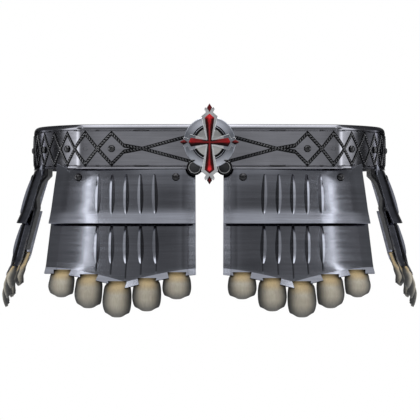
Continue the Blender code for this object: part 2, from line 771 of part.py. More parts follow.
def add_rivets(kind, finish):
    """The domed rivets near the top of an upper lame, each lying against its leaning face."""
    made = []
    out = profile_out(UPPER_PROFILE, RIVET_DROP)
    profile = dome_profile(RIVET_RADIUS, RIVET_LIFT, RIVET_SHOULDER, RIVET_HEIGHT)
    for name, u in rivet_places(kind).items():
        foot = tasset_point(kind, u, out, RIVET_DROP)
        along = tasset_point(kind, u + 1, out, RIVET_DROP) - foot
        low, high = RIVET_DROP - RIVET_RADIUS, -28.0
        below = tasset_point(kind, u, profile_out(UPPER_PROFILE, low), low)
        above = tasset_point(kind, u, profile_out(UPPER_PROFILE, high), high)
        up = (above - below).normalized()
        front = along.normalized().cross(up)
        bm = bmesh.new()
        add_turned(bm, profile, STUD_SIDES, foot, along.normalized(), up, front)
        face_out(bm)
        made.append(add_object(f"rivet_{kind}_left_{name}", bm, finish))
    return made


def add_hangers(kind, finish):
    """The leathers: riveted inside the belt, over the lame's top edge, and down behind both lames."""
    made = []
    behind = LAME_WALL + HANGER_GAP
    profiles = {"upper lame": UPPER_PROFILE, "lower lame": LOWER_PROFILE}
    for name, middle in rivet_places(kind).items():
        rows = []
        for step in HANGER_STEPS:
            place, z = step["behind"], step["z"]
            row = []
            for u in (middle - HANGER_HALF_WIDTH, middle + HANGER_HALF_WIDTH):
                if place == "belt":
                    point = beside_belt(tasset_point(kind, u, 0, z), 0, True)
                    point = beside_belt(point, -BELT_WALL - 2 * JOINT_GAP, False)
                elif place == "top edge":
                    point = tasset_point(kind, u, -behind - step["slack"], z)
                    point = beside_belt(point, HIDDEN_INSET - behind, False)
                else:
                    point = tasset_point(kind, u, profile_out(profiles[place], z) - behind - step["slack"], z)
                row.append(point)
            rows.append(row)
        made.append(add_sheet(f"hanger_{kind}_left_{name}", rows, HANGER_WALL, finish))
    return made


def main():
    clear_scene()
    finishes = {name: make_finish(name) for name in FINISHES}
    add_belt(finishes["belt_steel"])
    add_back_clasp(finishes["belt_steel"])
    add_disc(finishes["belt_steel"])
    add_mount(finishes["mount_silver"])
    add_enamel(finishes["red_enamel"])
    add_diamonds(finishes["red_enamel"])
    add_scrolls(finishes["dark_steel"])
    for kind in TASSETS:
        made = [add_upper_lame(kind, finishes["plate_steel"]), add_lower_lame(kind, finishes["plate_steel"])]
        made += add_rivets(kind, finishes["dark_steel"])
        made += add_hangers(kind, finishes["strap_leather"])
        made += add_lappets(kind, finishes["pale_leather"])
        for thing in made:
            mirrored(thing, thing.name.replace("_left", "_right"))


main()
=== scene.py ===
"""The looks of a steel fauld: its belt, cross medallion, ribbed tassets and moulded leather lappets.

Metres, +Z up, front towards -Y. Lengths below are in millimetres. Pieces are modelled flat, with X along the
plate, -Y out of it and Z up, and are then bent round their plan.
"""

import math
from contextlib import contextmanager

import bmesh
import bpy
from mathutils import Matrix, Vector


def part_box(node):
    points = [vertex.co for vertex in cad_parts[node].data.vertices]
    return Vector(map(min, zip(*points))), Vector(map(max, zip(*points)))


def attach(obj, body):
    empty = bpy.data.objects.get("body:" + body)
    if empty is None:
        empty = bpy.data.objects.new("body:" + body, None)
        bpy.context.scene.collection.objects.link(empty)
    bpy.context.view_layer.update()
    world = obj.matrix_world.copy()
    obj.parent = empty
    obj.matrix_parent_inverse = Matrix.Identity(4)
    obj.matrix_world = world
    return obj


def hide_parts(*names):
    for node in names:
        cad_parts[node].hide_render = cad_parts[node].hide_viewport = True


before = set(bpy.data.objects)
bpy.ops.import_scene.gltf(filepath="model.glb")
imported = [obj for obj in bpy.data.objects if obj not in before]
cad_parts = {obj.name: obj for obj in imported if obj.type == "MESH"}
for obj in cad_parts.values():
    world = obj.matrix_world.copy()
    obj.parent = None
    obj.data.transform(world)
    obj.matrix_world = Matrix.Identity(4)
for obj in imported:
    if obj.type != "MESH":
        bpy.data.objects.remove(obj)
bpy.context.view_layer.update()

MM = 0.001
UPRIGHT = (math.radians(90), 0, 0)


def table(columns, *rows):
    """Rows of named values."""
    return [dict(zip(columns.split(), row)) for row in rows]


# The belt's plan: arcs from the middle of the front to the side, mirrored to the back.
BELT_HALF_WIDTH = 184.0
FRONT_RADIUS, FRONT_TURN = 850.0, math.radians(8.5)
CORNER_RADIUS, CORNER_TURN = 14.0, math.radians(39)
SIDE_TURN = math.radians(90) - FRONT_TURN - CORNER_TURN
BELT_WALL, BELT_LIP, BELT_JOINT = 2.0, 5.5, 0.4
BELT_TOP, BELT_BOTTOM = 22.0, -22.0
HIGH_GROOVE, LOW_GROOVE = 15.9, -19.6
GROOVE_HALF, GROOVE_DEPTH, GROOVE_SUPPORT = 0.55, 0.7, 1.3
FOOT_BEAD, FOOT_DROP, FOOT_SUPPORT = 0.8, 0.4, 0.5

# Ropes, lozenges and studs on the belt.
ROPE_MIDDLE, ROPE_HEIGHT = -2.5, 15.5
ROPE_START, ROPE_START_SPREAD = 19.0, 12.8
ROPE_CROSSING = 67.5
ROPE_FORK, ROPE_FORK_SPREAD = 86.0, 3.1
FIRST_LOZENGE, FIRST_HALF, SECOND_LOZENGE = 98.4, 14.4, 125.0
LOZENGES, SIDE_LOZENGE = 10, 7
BED_HALF, BED_RISE, SECOND_BED_RISE, BED_SINK = 1.8, 0.3, 0.24, 0.4
BEAD_PITCH, BEAD_SIZE, BEAD_SLANT, BEAD_LIFT = 2.9, (1.7, 0.85, 0.85), -42, 0.15
STUD_RADIUS, STUD_HEIGHT, STUD_SIDES = 3.8, 3.0, 8
DOME_SHOULDER, STUD_FOOT = 0.3, 0.4
DOME_STEPS = table("share rise", (0.84, 0.36), (0.5, 0.27), (0.16, 0.07))
PUNCHES = table("name half_width half_height", ("cup", 2.2, 2.2), ("mark", 1.9, 1.0), ("leaf", 8.0, 1.1))
PUNCH_WALL, PUNCH_SET, PUNCH_RIM, PUNCH_DEPTH = 0.9, 0.3, 0.35, 0.5
PUNCH_INSET, LEAF_PLACE = 0.5, ROPE_CROSSING + 1
CLASP_CORNER, CLASP_RIM, CLASP_SINK = 5.0, 2.2, 0.5

# Medallion: depths in front of the belt's face.
MEDAL_HEIGHT = 3.6
DISC_RADIUS, DISC_BACK, DISC_FRONT = 25.8, 3.5, 6.7
DISC_STEPS = table(
    "radius move",
    *((25.1, -0.7), (18.0, 0.0), (17.7, 1.2), (17.2, 0.0), (16.8, -0.9)),
    *((16.4, 0.0), (16.0, 0.9), (14.4, 0.0), (14.0, -1.0), (3.0, 0.0)),
)
GROOVE_RADII, FIELD_RADIUS, HUB_RADIUS, HUB_GAP = (14.05, 17.95), 14.2, 9.0, 0.35
MOUNT_BACK, MOUNT_WALL = 7.05, 1.9
MOUNT_ARMS = table(
    "turns shoulder neck wing horn tip",
    (0, 25.8, 29.7, 32.8, 35.2, 33.4),
    (1, 19.4, 21.6, 24.0, 26.4, 24.8),
    (2, 29.0, 32.7, 35.8, 38.2, 36.4),
    (3, 19.4, 21.6, 24.0, 26.4, 24.8),
)
MOUNT_HALVES = {"crook": 3.2, "shoulder": 8.3, "neck": 3.6, "wing": 5.3, "horn": 4.2, "tip": 1.6}
MOUNT_GREY_FROM, MOUNT_GREY_HALF = 14.0, 9.5
ENAMEL_RIDGE, ENAMEL_REACH = 1.8, 30.0
SCROLL_MIDDLE, SCROLL_RING, SCROLL_BAR = (14.8, -25.0), 6.95, 1.05
SCROLL_START, SCROLL_TURN, SCROLL_STEPS, SCROLL_DEPTH = 92, 238, 34, 2.0
CLAW_REACH = 3.4
CLAW = table(
    "angle forward size",
    *((92, 6.1, 0.3), (85, 6.0, 0.85), (78, 5.9, 1.15), (71, 5.6, 1.25), (64, 4.6, 1.15)),
)
WEB_RIM, WEB_SINK, WEB_DEPTH = 1.6, 0.6, 1.7
WIRE_RING, WIRE_BAR, WIRE_DEPTH = 5.75, 0.3, 2.9

# Tassets.
HALF = 72.0
LAME_WALL = 1.5
FORE_FLANGE, AFT_FLANGE, FORE_SLOPE, AFT_SLOPE = 8.5, 13.0, 0.3, 0.14
FORE_BEND, FORE_ROUND = -61.0, 4.0
HIDDEN_INSET, EAR_OUTSET, EAR_HEIGHT, EAR_LEAN = 2.7, 1.6, 4.8, 0.25
SWELL_SHARE, SWELL_MOST, SWELL_FOOT, SWELL_FROM = 0.33, 2.2, -34.0, 3.5
RIB_PITCH, RIB_COUNT, RIB_HALF, RIB_RELIEF = 14.05, 5, 3.0, 2.18
RIB_SHIFT, RIB_SLANT = -2.3, -0.18
RIB_SIDE_FACING, RIB_SIDE_REACH, RIB_SIDE_TOP = -0.3, 40.0, -25.0
RIVET_SPREAD, RIVET_DROP, RIVET_RADIUS, RIVET_HEIGHT = 49.4, -31.0, 4.0, 2.7
RIVET_ABOVE, RIVET_OUT, RIVET_FOOT = -28.0, 4.8, 0.2

# How far out each lame's face lies at a height, and how much of the ribs' relief each of its rows has.
UPPER_PROFILE = table(
    "z out",
    *((-12.0, 0.0), (-22.8, 0.3), (-23.3, 2.5), (-28.0, 4.2), (-42.0, 8.9)),
    *((-58.0, 13.8), (-63.5, 15.5), (-68.0, 17.3), (-77.3, 21.5)),
)
LOWER_PROFILE = table("z out", (-65.0, 12.1), (-79.5, 16.1), (-92.0, 19.5), (-106.0, 23.3))
SKIRT_SLOPE = 0.272
UPPER_ROWS = table(
    "z rib",
    *((-12.0, 0.0), (-22.8, 0.0), (-23.3, 0.0), (-28.0, 0.0), (-28.8, 0.4)),
    *((-33.0, 0.62), (-38.0, 0.8), (-44.0, 0.94), (-50.0, 1.0), (-56.0, 0.95)),
    *((-61.0, 0.8), (-65.0, 0.6), (-66.8, 0.35), (-68.0, 0.0), (-77.3, 0.0)),
)
LOWER_ROWS = table(
    "z rib",
    *((-65.0, 0.0), (-79.0, 0.0), (-79.8, 0.4), (-85.0, 0.65), (-91.0, 0.87)),
    *((-98.0, 1.0), (-105.0, 0.97), (-111.0, 0.8), (-115.0, 0.55), (-117.0, 0.3)),
)
LIFT_FROM, LIFT_OVER = -91.0, 26.0

# Where the lames are cut into columns, and what is opened, creased or drawn down afterwards.
COLUMNS = (
    -HALF,
    *(FORE_BEND + step * FORE_ROUND for step in (-1, -0.5, 0, 0.5, 1)),
    *(-53.5, -47.0, -41.0, 34.0, 37.0, 40.0, 43.0, 48.5, 54.0),
    *(HALF - AFT_FLANGE, 65.5, HALF),
)
FRONT_COLUMN, RIB_SUPPORT, RIB_MARGIN, RIB_NARROWEST = 31.5, 0.9, 5.0, 0.12
HIDDEN_TOP, AFT_GAP, FORE_GAP = -23.1, 54.0, 53.5
CREASES = table("u raised", (-64.8, -0.45), (HALF - AFT_FLANGE + 0.6, 0.45))
CREASE_HALF, DRAWN_DOWN = 0.4, 100.0

# The lower lame's pointed edge, its lip and its notches, and the lappets that hang in them.
EDGE_HEIGHT, EDGE_POINT, EDGE_REACH, EDGE_POWER = -127.3, 14.0, 73.4, 1.6
LIP_HEIGHT, LIP_SLOPE, EDGE_OUT = 9.0, 0.5, 30.5
LIP_STEPS = table("out down", (0.24, 1 / 3), (0.76, 2 / 3))
NOTCH_DEPTH, NOTCH_TOP, NOTCH_MOUTH, NOTCH_CUT = 4.5, 8.8, 7.6, 12.0
LAPPETS = table(
    "u length half",
    (-54.6, 22.4, 13.2),
    (-27.4, 28.6, 13.3),
    (-0.3, 31.5, 13.5),
    (27.0, 29.5, 13.4),
    (53.8, 23.2, 13.0),
)
LAPPET_WALL, LAPPET_ROOT, LAPPET_GAP, LAPPET_EASE = 2.6, 9.0, 1.45, 0.8
LAPPET_SIDE_GAP, LAPPET_BELLY, LAPPET_ROUND, LAPPET_SETBACK = 0.6, 3.6, 4.6, 0.4
LAPPET_SHOULDER, LAPPET_SHOULDER_DROP = 1.6, 0.6
LAPPET_COLUMNS = (-1.0, -0.8, -0.45, 0.0, 0.45, 0.8, 1.0)
LAPPET_ROWS = table(
    "share narrower out",
    *((0.08, 0.9, 0.2), (0.22, 0.35, 1.6), (0.36, 0.1, 3.2), (0.5, 0.0, 4.4)),
    *((0.65, 0.4, 4.1), (0.8, 1.4, 3.2), (0.92, 2.9, 1.9), (1.0, 4.8, 0.8)),
)

# Each tasset's plan, an arc through a place; whether its ribs slant; and how much higher its edge lies.
TASSETS = {
    "front": {"x": 85.5, "y": -133.2, "facing": math.radians(11.1), "radius": 340, "slant": 1, "lift": 0.0},
    "side": {"x": 181.0, "y": 0.0, "facing": math.radians(90), "radius": 270, "slant": 0, "lift": 6.5},
}
PLAN_REACH = 100.0

# Camera: level, in front, a little below the belt. The floor lies far below the piece.
EYE = (0.5, -2872.5, -64.0)
VIEW_HALF, VIEW_DISTANCE = 210.0, 2730.0
FLOOR_RADIUS, FLOOR_DROP = 2600.0, 950.0
SOFTBOXES = table(
    "name azimuth elevation distance size radiance",
    ("back_box_-1", -160, 62, 2.6, (1.2, 0.8), 2.5),
    ("back_box_1", 160, 62, 2.6, (1.2, 0.8), 2.5),
    ("overhead", 0, 88, 2.4, (2.0, 1.6), 1.6),
)

# The studio's light, by its share of the way round from the front to the back, and by height.
WORLD_LEVEL = (
    *((0.0, 0.75), (0.03, 0.72), (0.07, 0.8), (0.095, 0.75), (0.11, 0.5), (0.22, 0.45), (0.30, 0.6)),
    *((0.37, 2.2), (0.43, 3.6), (0.51, 3.6), (0.535, 2.2), (0.56, 1.5), (0.60, 1.2), (0.63, 0.1)),
    *((0.68, 0.05), (0.71, 0.5), (0.765, 0.6), (0.774, 4.0), (0.785, 4.0), (0.80, 0.02), (0.92, 0.02)),
    (1.0, 0.5),
)
WORLD_SHOULDER = (
    *((0.0, 0.34), (0.04, 0.22), (0.06, 0.21), (0.083, 0.26), (0.11, 0.29), (0.14, 0.33), (0.185, 0.35)),
    *((0.225, 0.33), (0.26, 0.3), (0.28, 0.2), (0.33, 0.2), (0.348, 0.25), (0.43, 0.22), (0.47, 0.6)),
    *((0.51, 0.95), (0.54, 1.2), (0.565, 3.0), (0.615, 3.4), (0.64, 0.15), (0.70, 0.2), (1.0, 0.15)),
)
WORLD_TOP = ((0.6, 1.2), (0.85, 1.3), (0.95, 1.7), (1.0, 2.0))
RISE_TO_SHOULDER = ((0.09, 0.0), (0.17, 1.0))
RISE_TO_TOP = ((0.59, 0.0), (0.73, 1.0))
STRIP_LEAN = ((0.4, 0.197), (0.468, 0.212), (0.533, 0.2205), (0.575, 0.229), (0.65, 0.237), (0.748, 0.239))
STRIP_ACROSS = ((0.0, 1.0), (0.003, 1.0), (0.008, 0.0))
STRIP_ALONG = ((0.35, 0.0), (0.45, 0.7), (0.55, 1.0), (0.8, 1.0), (0.9, 0.0))
STRIP_LIGHT, STUDIO_TINT = 7.5, (0.97, 0.985, 1.0)


# Handling


def alone(piece):
    bpy.ops.object.select_all(action="DESELECT")
    piece.select_set(True)
    bpy.context.view_layer.objects.active = piece


def primitive(kind, name, **settings):
    """Adds a mesh primitive, sized and placed in millimetres, with nothing else selected."""
    bpy.ops.object.select_all(action="DESELECT")
    for key in ("size", "radius", "depth", "major_radius", "minor_radius"):
        if key in settings:
            settings[key] *= MM
    if "location" in settings:
        settings["location"] = [value * MM for value in settings["location"]]
    getattr(bpy.ops.mesh, f"primitive_{kind}_add")(**settings)
    piece = bpy.context.object
    piece.name = piece.data.name = name
    bpy.ops.object.transform_apply(location=True, rotation=True, scale=True)
    return piece


@contextmanager
def shaping(piece):
    alone(piece)
    bpy.ops.object.mode_set(mode="EDIT")
    yield
    bpy.ops.object.mode_set(mode="OBJECT")


def pick(test, kind="VERT"):
    """Selects the points, edges or faces that pass the test. A face's test gets its middle and its normal."""
    bpy.ops.mesh.select_mode(type=kind)
    bpy.ops.mesh.select_all(action="DESELECT")
    mesh = bpy.context.edit_object.data
    bm = bmesh.from_edit_mesh(mesh)
    if kind == "VERT":
        for vert in bm.verts:
            vert.select_set(bool(test(vert.co / MM)))
    elif kind == "EDGE":
        for edge in bm.edges:
            edge.select_set(all(test(vert.co / MM) for vert in edge.verts))
    else:
        for face in bm.faces:
            face.select_set(bool(test(face.calc_center_median() / MM, face.normal)))
    bm.select_flush_mode()
    bmesh.update_edit_mesh(mesh)


def near(value, wanted, reach=0.06):
    return abs(value - wanted) < reach


def pick_row(z, kind="VERT"):
    pick(lambda c: near(c.z, z), kind)


def pick_point(x, z):
    pick(lambda c: near(c.z, z) and near(c.x, x, 0.02))


def pick_front():
    pick(lambda c, n: n.y < -0.9, "FACE")


def pick_all():
    bpy.ops.mesh.select_all(action="SELECT")


def move(x=0.0, y=0.0, z=0.0):
    bpy.ops.transform.translate(value=(x * MM, y * MM, z * MM))


def spread(x=1.0, y=1.0, z=1.0, about=(0, 0, 0)):
    bpy.ops.transform.resize(value=(x, y, z), center_override=[value * MM for value in about])


def extrude(x=0.0, y=0.0, z=0.0):
    bpy.ops.mesh.extrude_region_move(TRANSFORM_OT_translate={"value": (x * MM, y * MM, z * MM)})


def inset(thickness):
    bpy.ops.mesh.inset(thickness=thickness * MM, use_even_offset=True)


def sink_front(rim, depth):
    """Lets a dish into the front face."""
    pick_front()
    inset(rim)
    move(y=depth)


def step_in(radius, steps, about=(0, 0, 0)):
    """Draws the front face of a round piece on. Each step has its new radius and how far it moves in Y."""
    pick_front()
    for narrower, back in steps:
        extrude()
        spread(x=narrower / radius, z=narrower / radius, about=about)
        move(y=back)
        radius = narrower


def cut(places, axis):
    """Cuts the whole piece through at each place along an axis."""
    for place in places:
        pick_all()
        where, facing = [0.0, 0.0, 0.0], [0.0, 0.0, 0.0]
        where[axis], facing[axis] = place * MM, 1.0
        bpy.ops.mesh.bisect(plane_co=where, plane_no=facing)


def tidy_normals(piece, front=False):
    """Turns a piece's faces outwards, or those of an open sheet to the front."""
    with shaping(piece):
        pick_all()
        bpy.ops.mesh.normals_make_consistent(inside=False)
        if front:
            bm = bmesh.from_edit_mesh(piece.data)
            if sum(face.normal.y * face.calc_area() for face in bm.faces) > 0:
                bpy.ops.mesh.flip_normals()


def apply(piece, kind, **settings):
    """Adds a modifier and applies it."""
    alone(piece)
    step = piece.modifiers.new(kind.lower(), kind)
    for key, value in settings.items():
        setattr(step, key, value)
    bpy.ops.object.modifier_apply(modifier=step.name)


def soften(piece, width, segments=2, angle=25):
    """Rounds a piece's edges a little, and shades it smooth between the ones that stay sharp."""
    turn = math.radians(angle)
    settings = {"width": width * MM, "segments": segments, "limit_method": "ANGLE", "angle_limit": turn}
    apply(piece, "BEVEL", use_clamp_overlap=True, **settings)
    shade(piece)


def shade(piece, angle=35):
    alone(piece)
    bpy.ops.object.shade_smooth_by_angle(angle=math.radians(angle))


def copy_of(piece, name):
    alone(piece)
    bpy.ops.object.duplicate()
    twin = bpy.context.object
    twin.name = twin.data.name = name
    return twin


def placed(piece, location=(0, 0, 0), turn=(0, 0, 0)):
    """Turns and places a piece, in its mesh."""
    alone(piece)
    piece.rotation_euler = turn
    piece.location = [value * MM for value in location]
    bpy.ops.object.transform_apply(location=True, rotation=True, scale=True)


def joined(pieces, name):
    bpy.ops.object.select_all(action="DESELECT")
    for piece in pieces:
        piece.select_set(True)
    bpy.context.view_layer.objects.active = pieces[0]
    bpy.ops.object.join()
    piece = bpy.context.object
    piece.name = piece.data.name = name
    return piece


def copy_of_node(node, name):
    """A copy of a solid from the frame, merged where its faces meet, without parent or finish."""
    piece = copy_of(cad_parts[node], name)
    piece.parent = None
    for key in list(piece.keys()):
        del piece[key]
    piece.data.materials.clear()
    with shaping(piece):
        pick_all()
        bpy.ops.mesh.remove_doubles(threshold=0.01 * MM)
    return piece


def draw_sheet(name, rows, columns):
    """A flat sheet, drawn down row by row and cut into columns. A row has its height z and its out."""
    first, second = rows[0], rows[1]
    left, right = columns[0], columns[-1]
    sheet = primitive("plane", name, size=1, rotation=UPRIGHT)
    with shaping(sheet):
        pick_all()
        spread(x=right - left, z=first["z"] - second["z"])
        move(x=(left + right) / 2, y=-first["out"], z=(first["z"] + second["z"]) / 2)
        pick_row(second["z"])
        move(y=first["out"] - second["out"])
        for above, row in zip(rows[1:], rows[2:]):
            pick_row(above["z"], "EDGE")
            extrude(y=above["out"] - row["out"], z=row["z"] - above["z"])
        cut(columns[1:-1], 0)
    return sheet


def discard(piece):
    bpy.data.objects.remove(piece, do_unlink=True)


def mirrored(piece, name):
    """A copy on the wearer's other side."""
    twin = copy_of(piece, name)
    with shaping(twin):
        pick_all()
        spread(x=-1)
        bpy.ops.mesh.flip_normals()
    return twin


def add_finishes(piece, *finishes):
    for finish in finishes:
        piece.data.materials.append(finish)


def paint(piece, index, test):
    """Gives the faces that pass the test another of the piece's finishes."""
    with shaping(piece):
        pick(test, "FACE")
        piece.active_material_index = index
        bpy.ops.object.material_slot_assign()


def dress(piece, finish, slot, *nodes):
    """Gives a piece its finish and its place in the frame."""
    if finish and not piece.data.materials:
        add_finishes(piece, finish)
    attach(piece, "root")
    if nodes:
        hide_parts(*nodes)


def dress_pair(piece, finish, slot, *nodes):
    """Dresses a left piece and its mirrored copy on the right."""
    twin = mirrored(piece, piece.name.replace("_left", "_right"))
    dress(piece, finish, slot, *nodes)
    dress(twin, finish, slot, *[node.replace("_left", "_right") for node in nodes])


# Plans


def side_radius():
    corner_end = FRONT_TURN + CORNER_TURN
    reach = FRONT_RADIUS * math.sin(FRONT_TURN)
    reach += CORNER_RADIUS * (math.sin(corner_end) - math.sin(FRONT_TURN))
    return (BELT_HALF_WIDTH - reach) / (1 - math.sin(corner_end))


def quarter_arcs():
    return ((FRONT_RADIUS, FRONT_TURN), (CORNER_RADIUS, CORNER_TURN), (side_radius(), SIDE_TURN))


QUARTER = sum(radius * turn for radius, turn in quarter_arcs())


def walk(s):
    """The place and heading after a length s along the belt from the middle of its front."""
    x = y = heading = 0.0
    for radius, turn in quarter_arcs() + quarter_arcs()[::-1]:
        step = min(s / radius, turn)
        x += radius * (math.sin(heading + step) - math.sin(heading))
        y += radius * (math.cos(heading) - math.cos(heading + step))
        heading += step
        s -= step * radius
        if s <= 1e-9:
            break
    return x, y, heading


BELT_HALF_DEPTH = walk(QUARTER)[1]


def belt_walk(steps):
    """Places and headings round half the belt, from the middle of its front to the middle of its back."""
    walked = [walk(2 * QUARTER * i / steps) for i in range(steps + 1)]
    return [(x, y - BELT_HALF_DEPTH, heading) for x, y, heading in walked]


BELT_WALK = belt_walk(800)


def tasset_place(kind, u, out):
    """The place and heading at u along a tasset's plan, a distance out of it."""
    row = TASSETS[kind]
    heading = row["facing"] + u / row["radius"]
    x = row["x"] + row["radius"] * (math.sin(heading) - math.sin(row["facing"])) + out * math.sin(heading)
    y = row["y"] + row["radius"] * (math.cos(row["facing"]) - math.cos(heading)) - out * math.cos(heading)
    return x, y, heading


def add_plan(name, places, start):
    """A flat curve to bend pieces round. Its first place stands for X = start on the flat piece."""
    curve = bpy.data.curves.new(name, "CURVE")
    curve.dimensions = "2D"
    curve.use_deform_bounds = False
    spline = curve.splines.new("POLY")
    spline.points.add(len(places) - 1)
    for point, (x, y, _) in zip(spline.points, places):
        point.co = ((x - start) * MM, y * MM, 0, 1)
    plan = bpy.data.objects.new(name, curve)
    plan.location.x = start * MM
    bpy.context.scene.collection.objects.link(plan)
    return plan


def tasset_plan(kind):
    reaches = [(i / 100 - 1) * PLAN_REACH for i in range(201)]
    return add_plan(f"{kind}_plan", [tasset_place(kind, u, 0.0) for u in reaches], -PLAN_REACH)


def bend(piece, plan):
    apply(piece, "CURVE", object=plan, deform_axis="POS_X")


def belt_stations():
    """The lengths at which the belt is cut so that it bends smoothly."""
    stations = []
    start = 0.0
    for (radius, turn), count in zip(quarter_arcs(), (10, 12, 24)):
        stations += [start + radius * turn * i / count for i in range(count)]
        start += radius * turn
    return stations[1:] + [QUARTER] + [2 * QUARTER - s for s in reversed(stations[1:])]


# Finishes

STEEL_TINT = (0.35, 0.35, 0.37, 1.0)


class Graph:
    """A tree of nodes, added one after another. Each input is a plain value or another node's output."""

    def __init__(self, tree):
        self.tree = tree

    def fill(self, socket, value):
        if isinstance(value, bpy.types.NodeSocket):
            self.tree.links.new(value, socket)
        elif socket.type == "RGBA":
            socket.default_value = (*value[:3], 1)
        else:
            socket.default_value = value

    def add(self, kind, *inputs, **settings):
        node = self.tree.nodes.new(kind)
        for key, value in settings.items():
            setattr(node, key, value)
        for socket, value in zip(node.inputs, inputs):
            self.fill(socket, value)
        return node

    def parts(self, place):
        return tuple(self.add("ShaderNodeSeparateXYZ", place).outputs)

    def ramp(self, source, stops):
        """A ramp whose stops are (position, grey or colour)."""
        node = self.add("ShaderNodeValToRGB", source)
        elements = node.color_ramp.elements
        elements[0].position, elements[1].position = stops[0][0], stops[-1][0]
        for position, _ in stops[1:-1]:
            elements.new(position)
        for element, (_, value) in zip(elements, stops):
            element.color = (*value, 1) if isinstance(value, tuple) else (value, value, value, 1)
        return node.outputs["Color"]

    def math(self, kind, *inputs):
        return self.add("ShaderNodeMath", *inputs, operation=kind).outputs[0]

    def length(self, a, b):
        return self.math("SQRT", self.math("ADD", self.math("POWER", a, 2), self.math("POWER", b, 2)))

    def blend(self, share, low, high):
        return self.math("ADD", low, self.math("MULTIPLY", share, self.math("SUBTRACT", high, low)))


class Recipe(Graph):
    """A material's nodes. The values set its shader's plain inputs."""

    def __init__(self, name, **values):
        self.material = bpy.data.materials.new(name)
        self.material.use_nodes = True
        super().__init__(self.material.node_tree)
        self.shader = self.tree.nodes["Principled BSDF"].inputs
        self.place = self.add("ShaderNodeTexCoord").outputs["Object"]
        for key, value in values.items():
            self.shader[key.replace("_", " ").title().replace("Ior", "IOR")].default_value = value

    def stretched(self, scale):
        mapping = self.add("ShaderNodeMapping", self.place)
        mapping.inputs["Scale"].default_value = scale
        return mapping.outputs["Vector"]

    def noise(self, scale, detail=4.0, vector=None):
        node = self.add("ShaderNodeTexNoise", vector or self.place)
        node.inputs["Scale"].default_value = scale
        node.inputs["Detail"].default_value = detail
        return node.outputs["Fac"]

    def mix(self, low, high, share, kind="MIX"):
        node = self.add("ShaderNodeMix", data_type="RGBA", blend_type=kind)
        for i, value in ((6, low), (7, high), (0, share)):
            self.fill(node.inputs[i], value)
        return node.outputs[2]

    def dim(self, colour, source, stops, share=1.0):
        """Multiplies a colour by a ramp."""
        return self.mix(colour, self.ramp(source, stops), share, "MULTIPLY")

    def finish(self, colour, height, strength, distance):
        """The material, with its colour and a bump."""
        node = self.add("ShaderNodeBump")
        node.inputs["Strength"].default_value = strength
        node.inputs["Distance"].default_value = distance * MM
        self.fill(node.inputs["Height"], height)
        self.fill(self.shader["Normal"], node.outputs["Normal"])
        self.fill(self.shader["Base Color"], colour)
        return self.material


def steel(name, light, dark, roughness):
    """Brushed steel: fine level scratches, soft smudges and longer level streaks, and a roughness that
    follows the streaks.
    """
    recipe = Recipe(name, metallic=1.0, specular_tint=STEEL_TINT)
    scratches = recipe.noise(1.0, 3.0, recipe.stretched((30, 30, 1500)))
    streaks = recipe.noise(1.0, 2.0, recipe.stretched((10, 10, 240)))
    tone = recipe.mix(dark, light, recipe.ramp(recipe.noise(22.0), ((0.35, 0.0), (0.65, 1.0))))
    tone = recipe.dim(tone, streaks, ((0.3, 0.82), (0.7, 1.0)), 0.8)
    tone = recipe.dim(tone, scratches, ((0.3, 0.78), (0.65, 1.0)), 0.6)
    rough = recipe.ramp(streaks, ((0.3, roughness * 0.85), (0.7, roughness * 1.2)))
    recipe.fill(recipe.shader["Roughness"], rough)
    return recipe.finish(tone, scratches, 0.12, 0.03)


def turned_steel_with_painted_sheen(name, light, dark, roughness):
    """Steel brushed round the medallion, with a painted sheen: its colour is light above and below the middle
    and dark to its left and right.
    """
    recipe = Recipe(name, metallic=1.0, roughness=roughness)
    aside, _, high = recipe.parts(recipe.place)
    height = recipe.math("SUBTRACT", high, MEDAL_HEIGHT * MM)
    reach = recipe.length(aside, height)
    sheen = recipe.math("DIVIDE", recipe.math("ABSOLUTE", height), reach)
    # Painted sheen: the colour runs from dark beside the middle to light above and below it.
    tone = recipe.ramp(sheen, ((0.0, dark), (0.35, dark), (0.95, light)))
    rings = recipe.add("ShaderNodeTexNoise", noise_dimensions="1D")
    rings.inputs["Scale"].default_value = 1400.0
    recipe.fill(rings.inputs["W"], reach)
    tone = recipe.dim(tone, rings.outputs["Fac"], ((0.35, 0.8), (0.65, 1.0)), 0.7)
    return recipe.finish(tone, rings.outputs["Fac"], 0.2, 0.03)


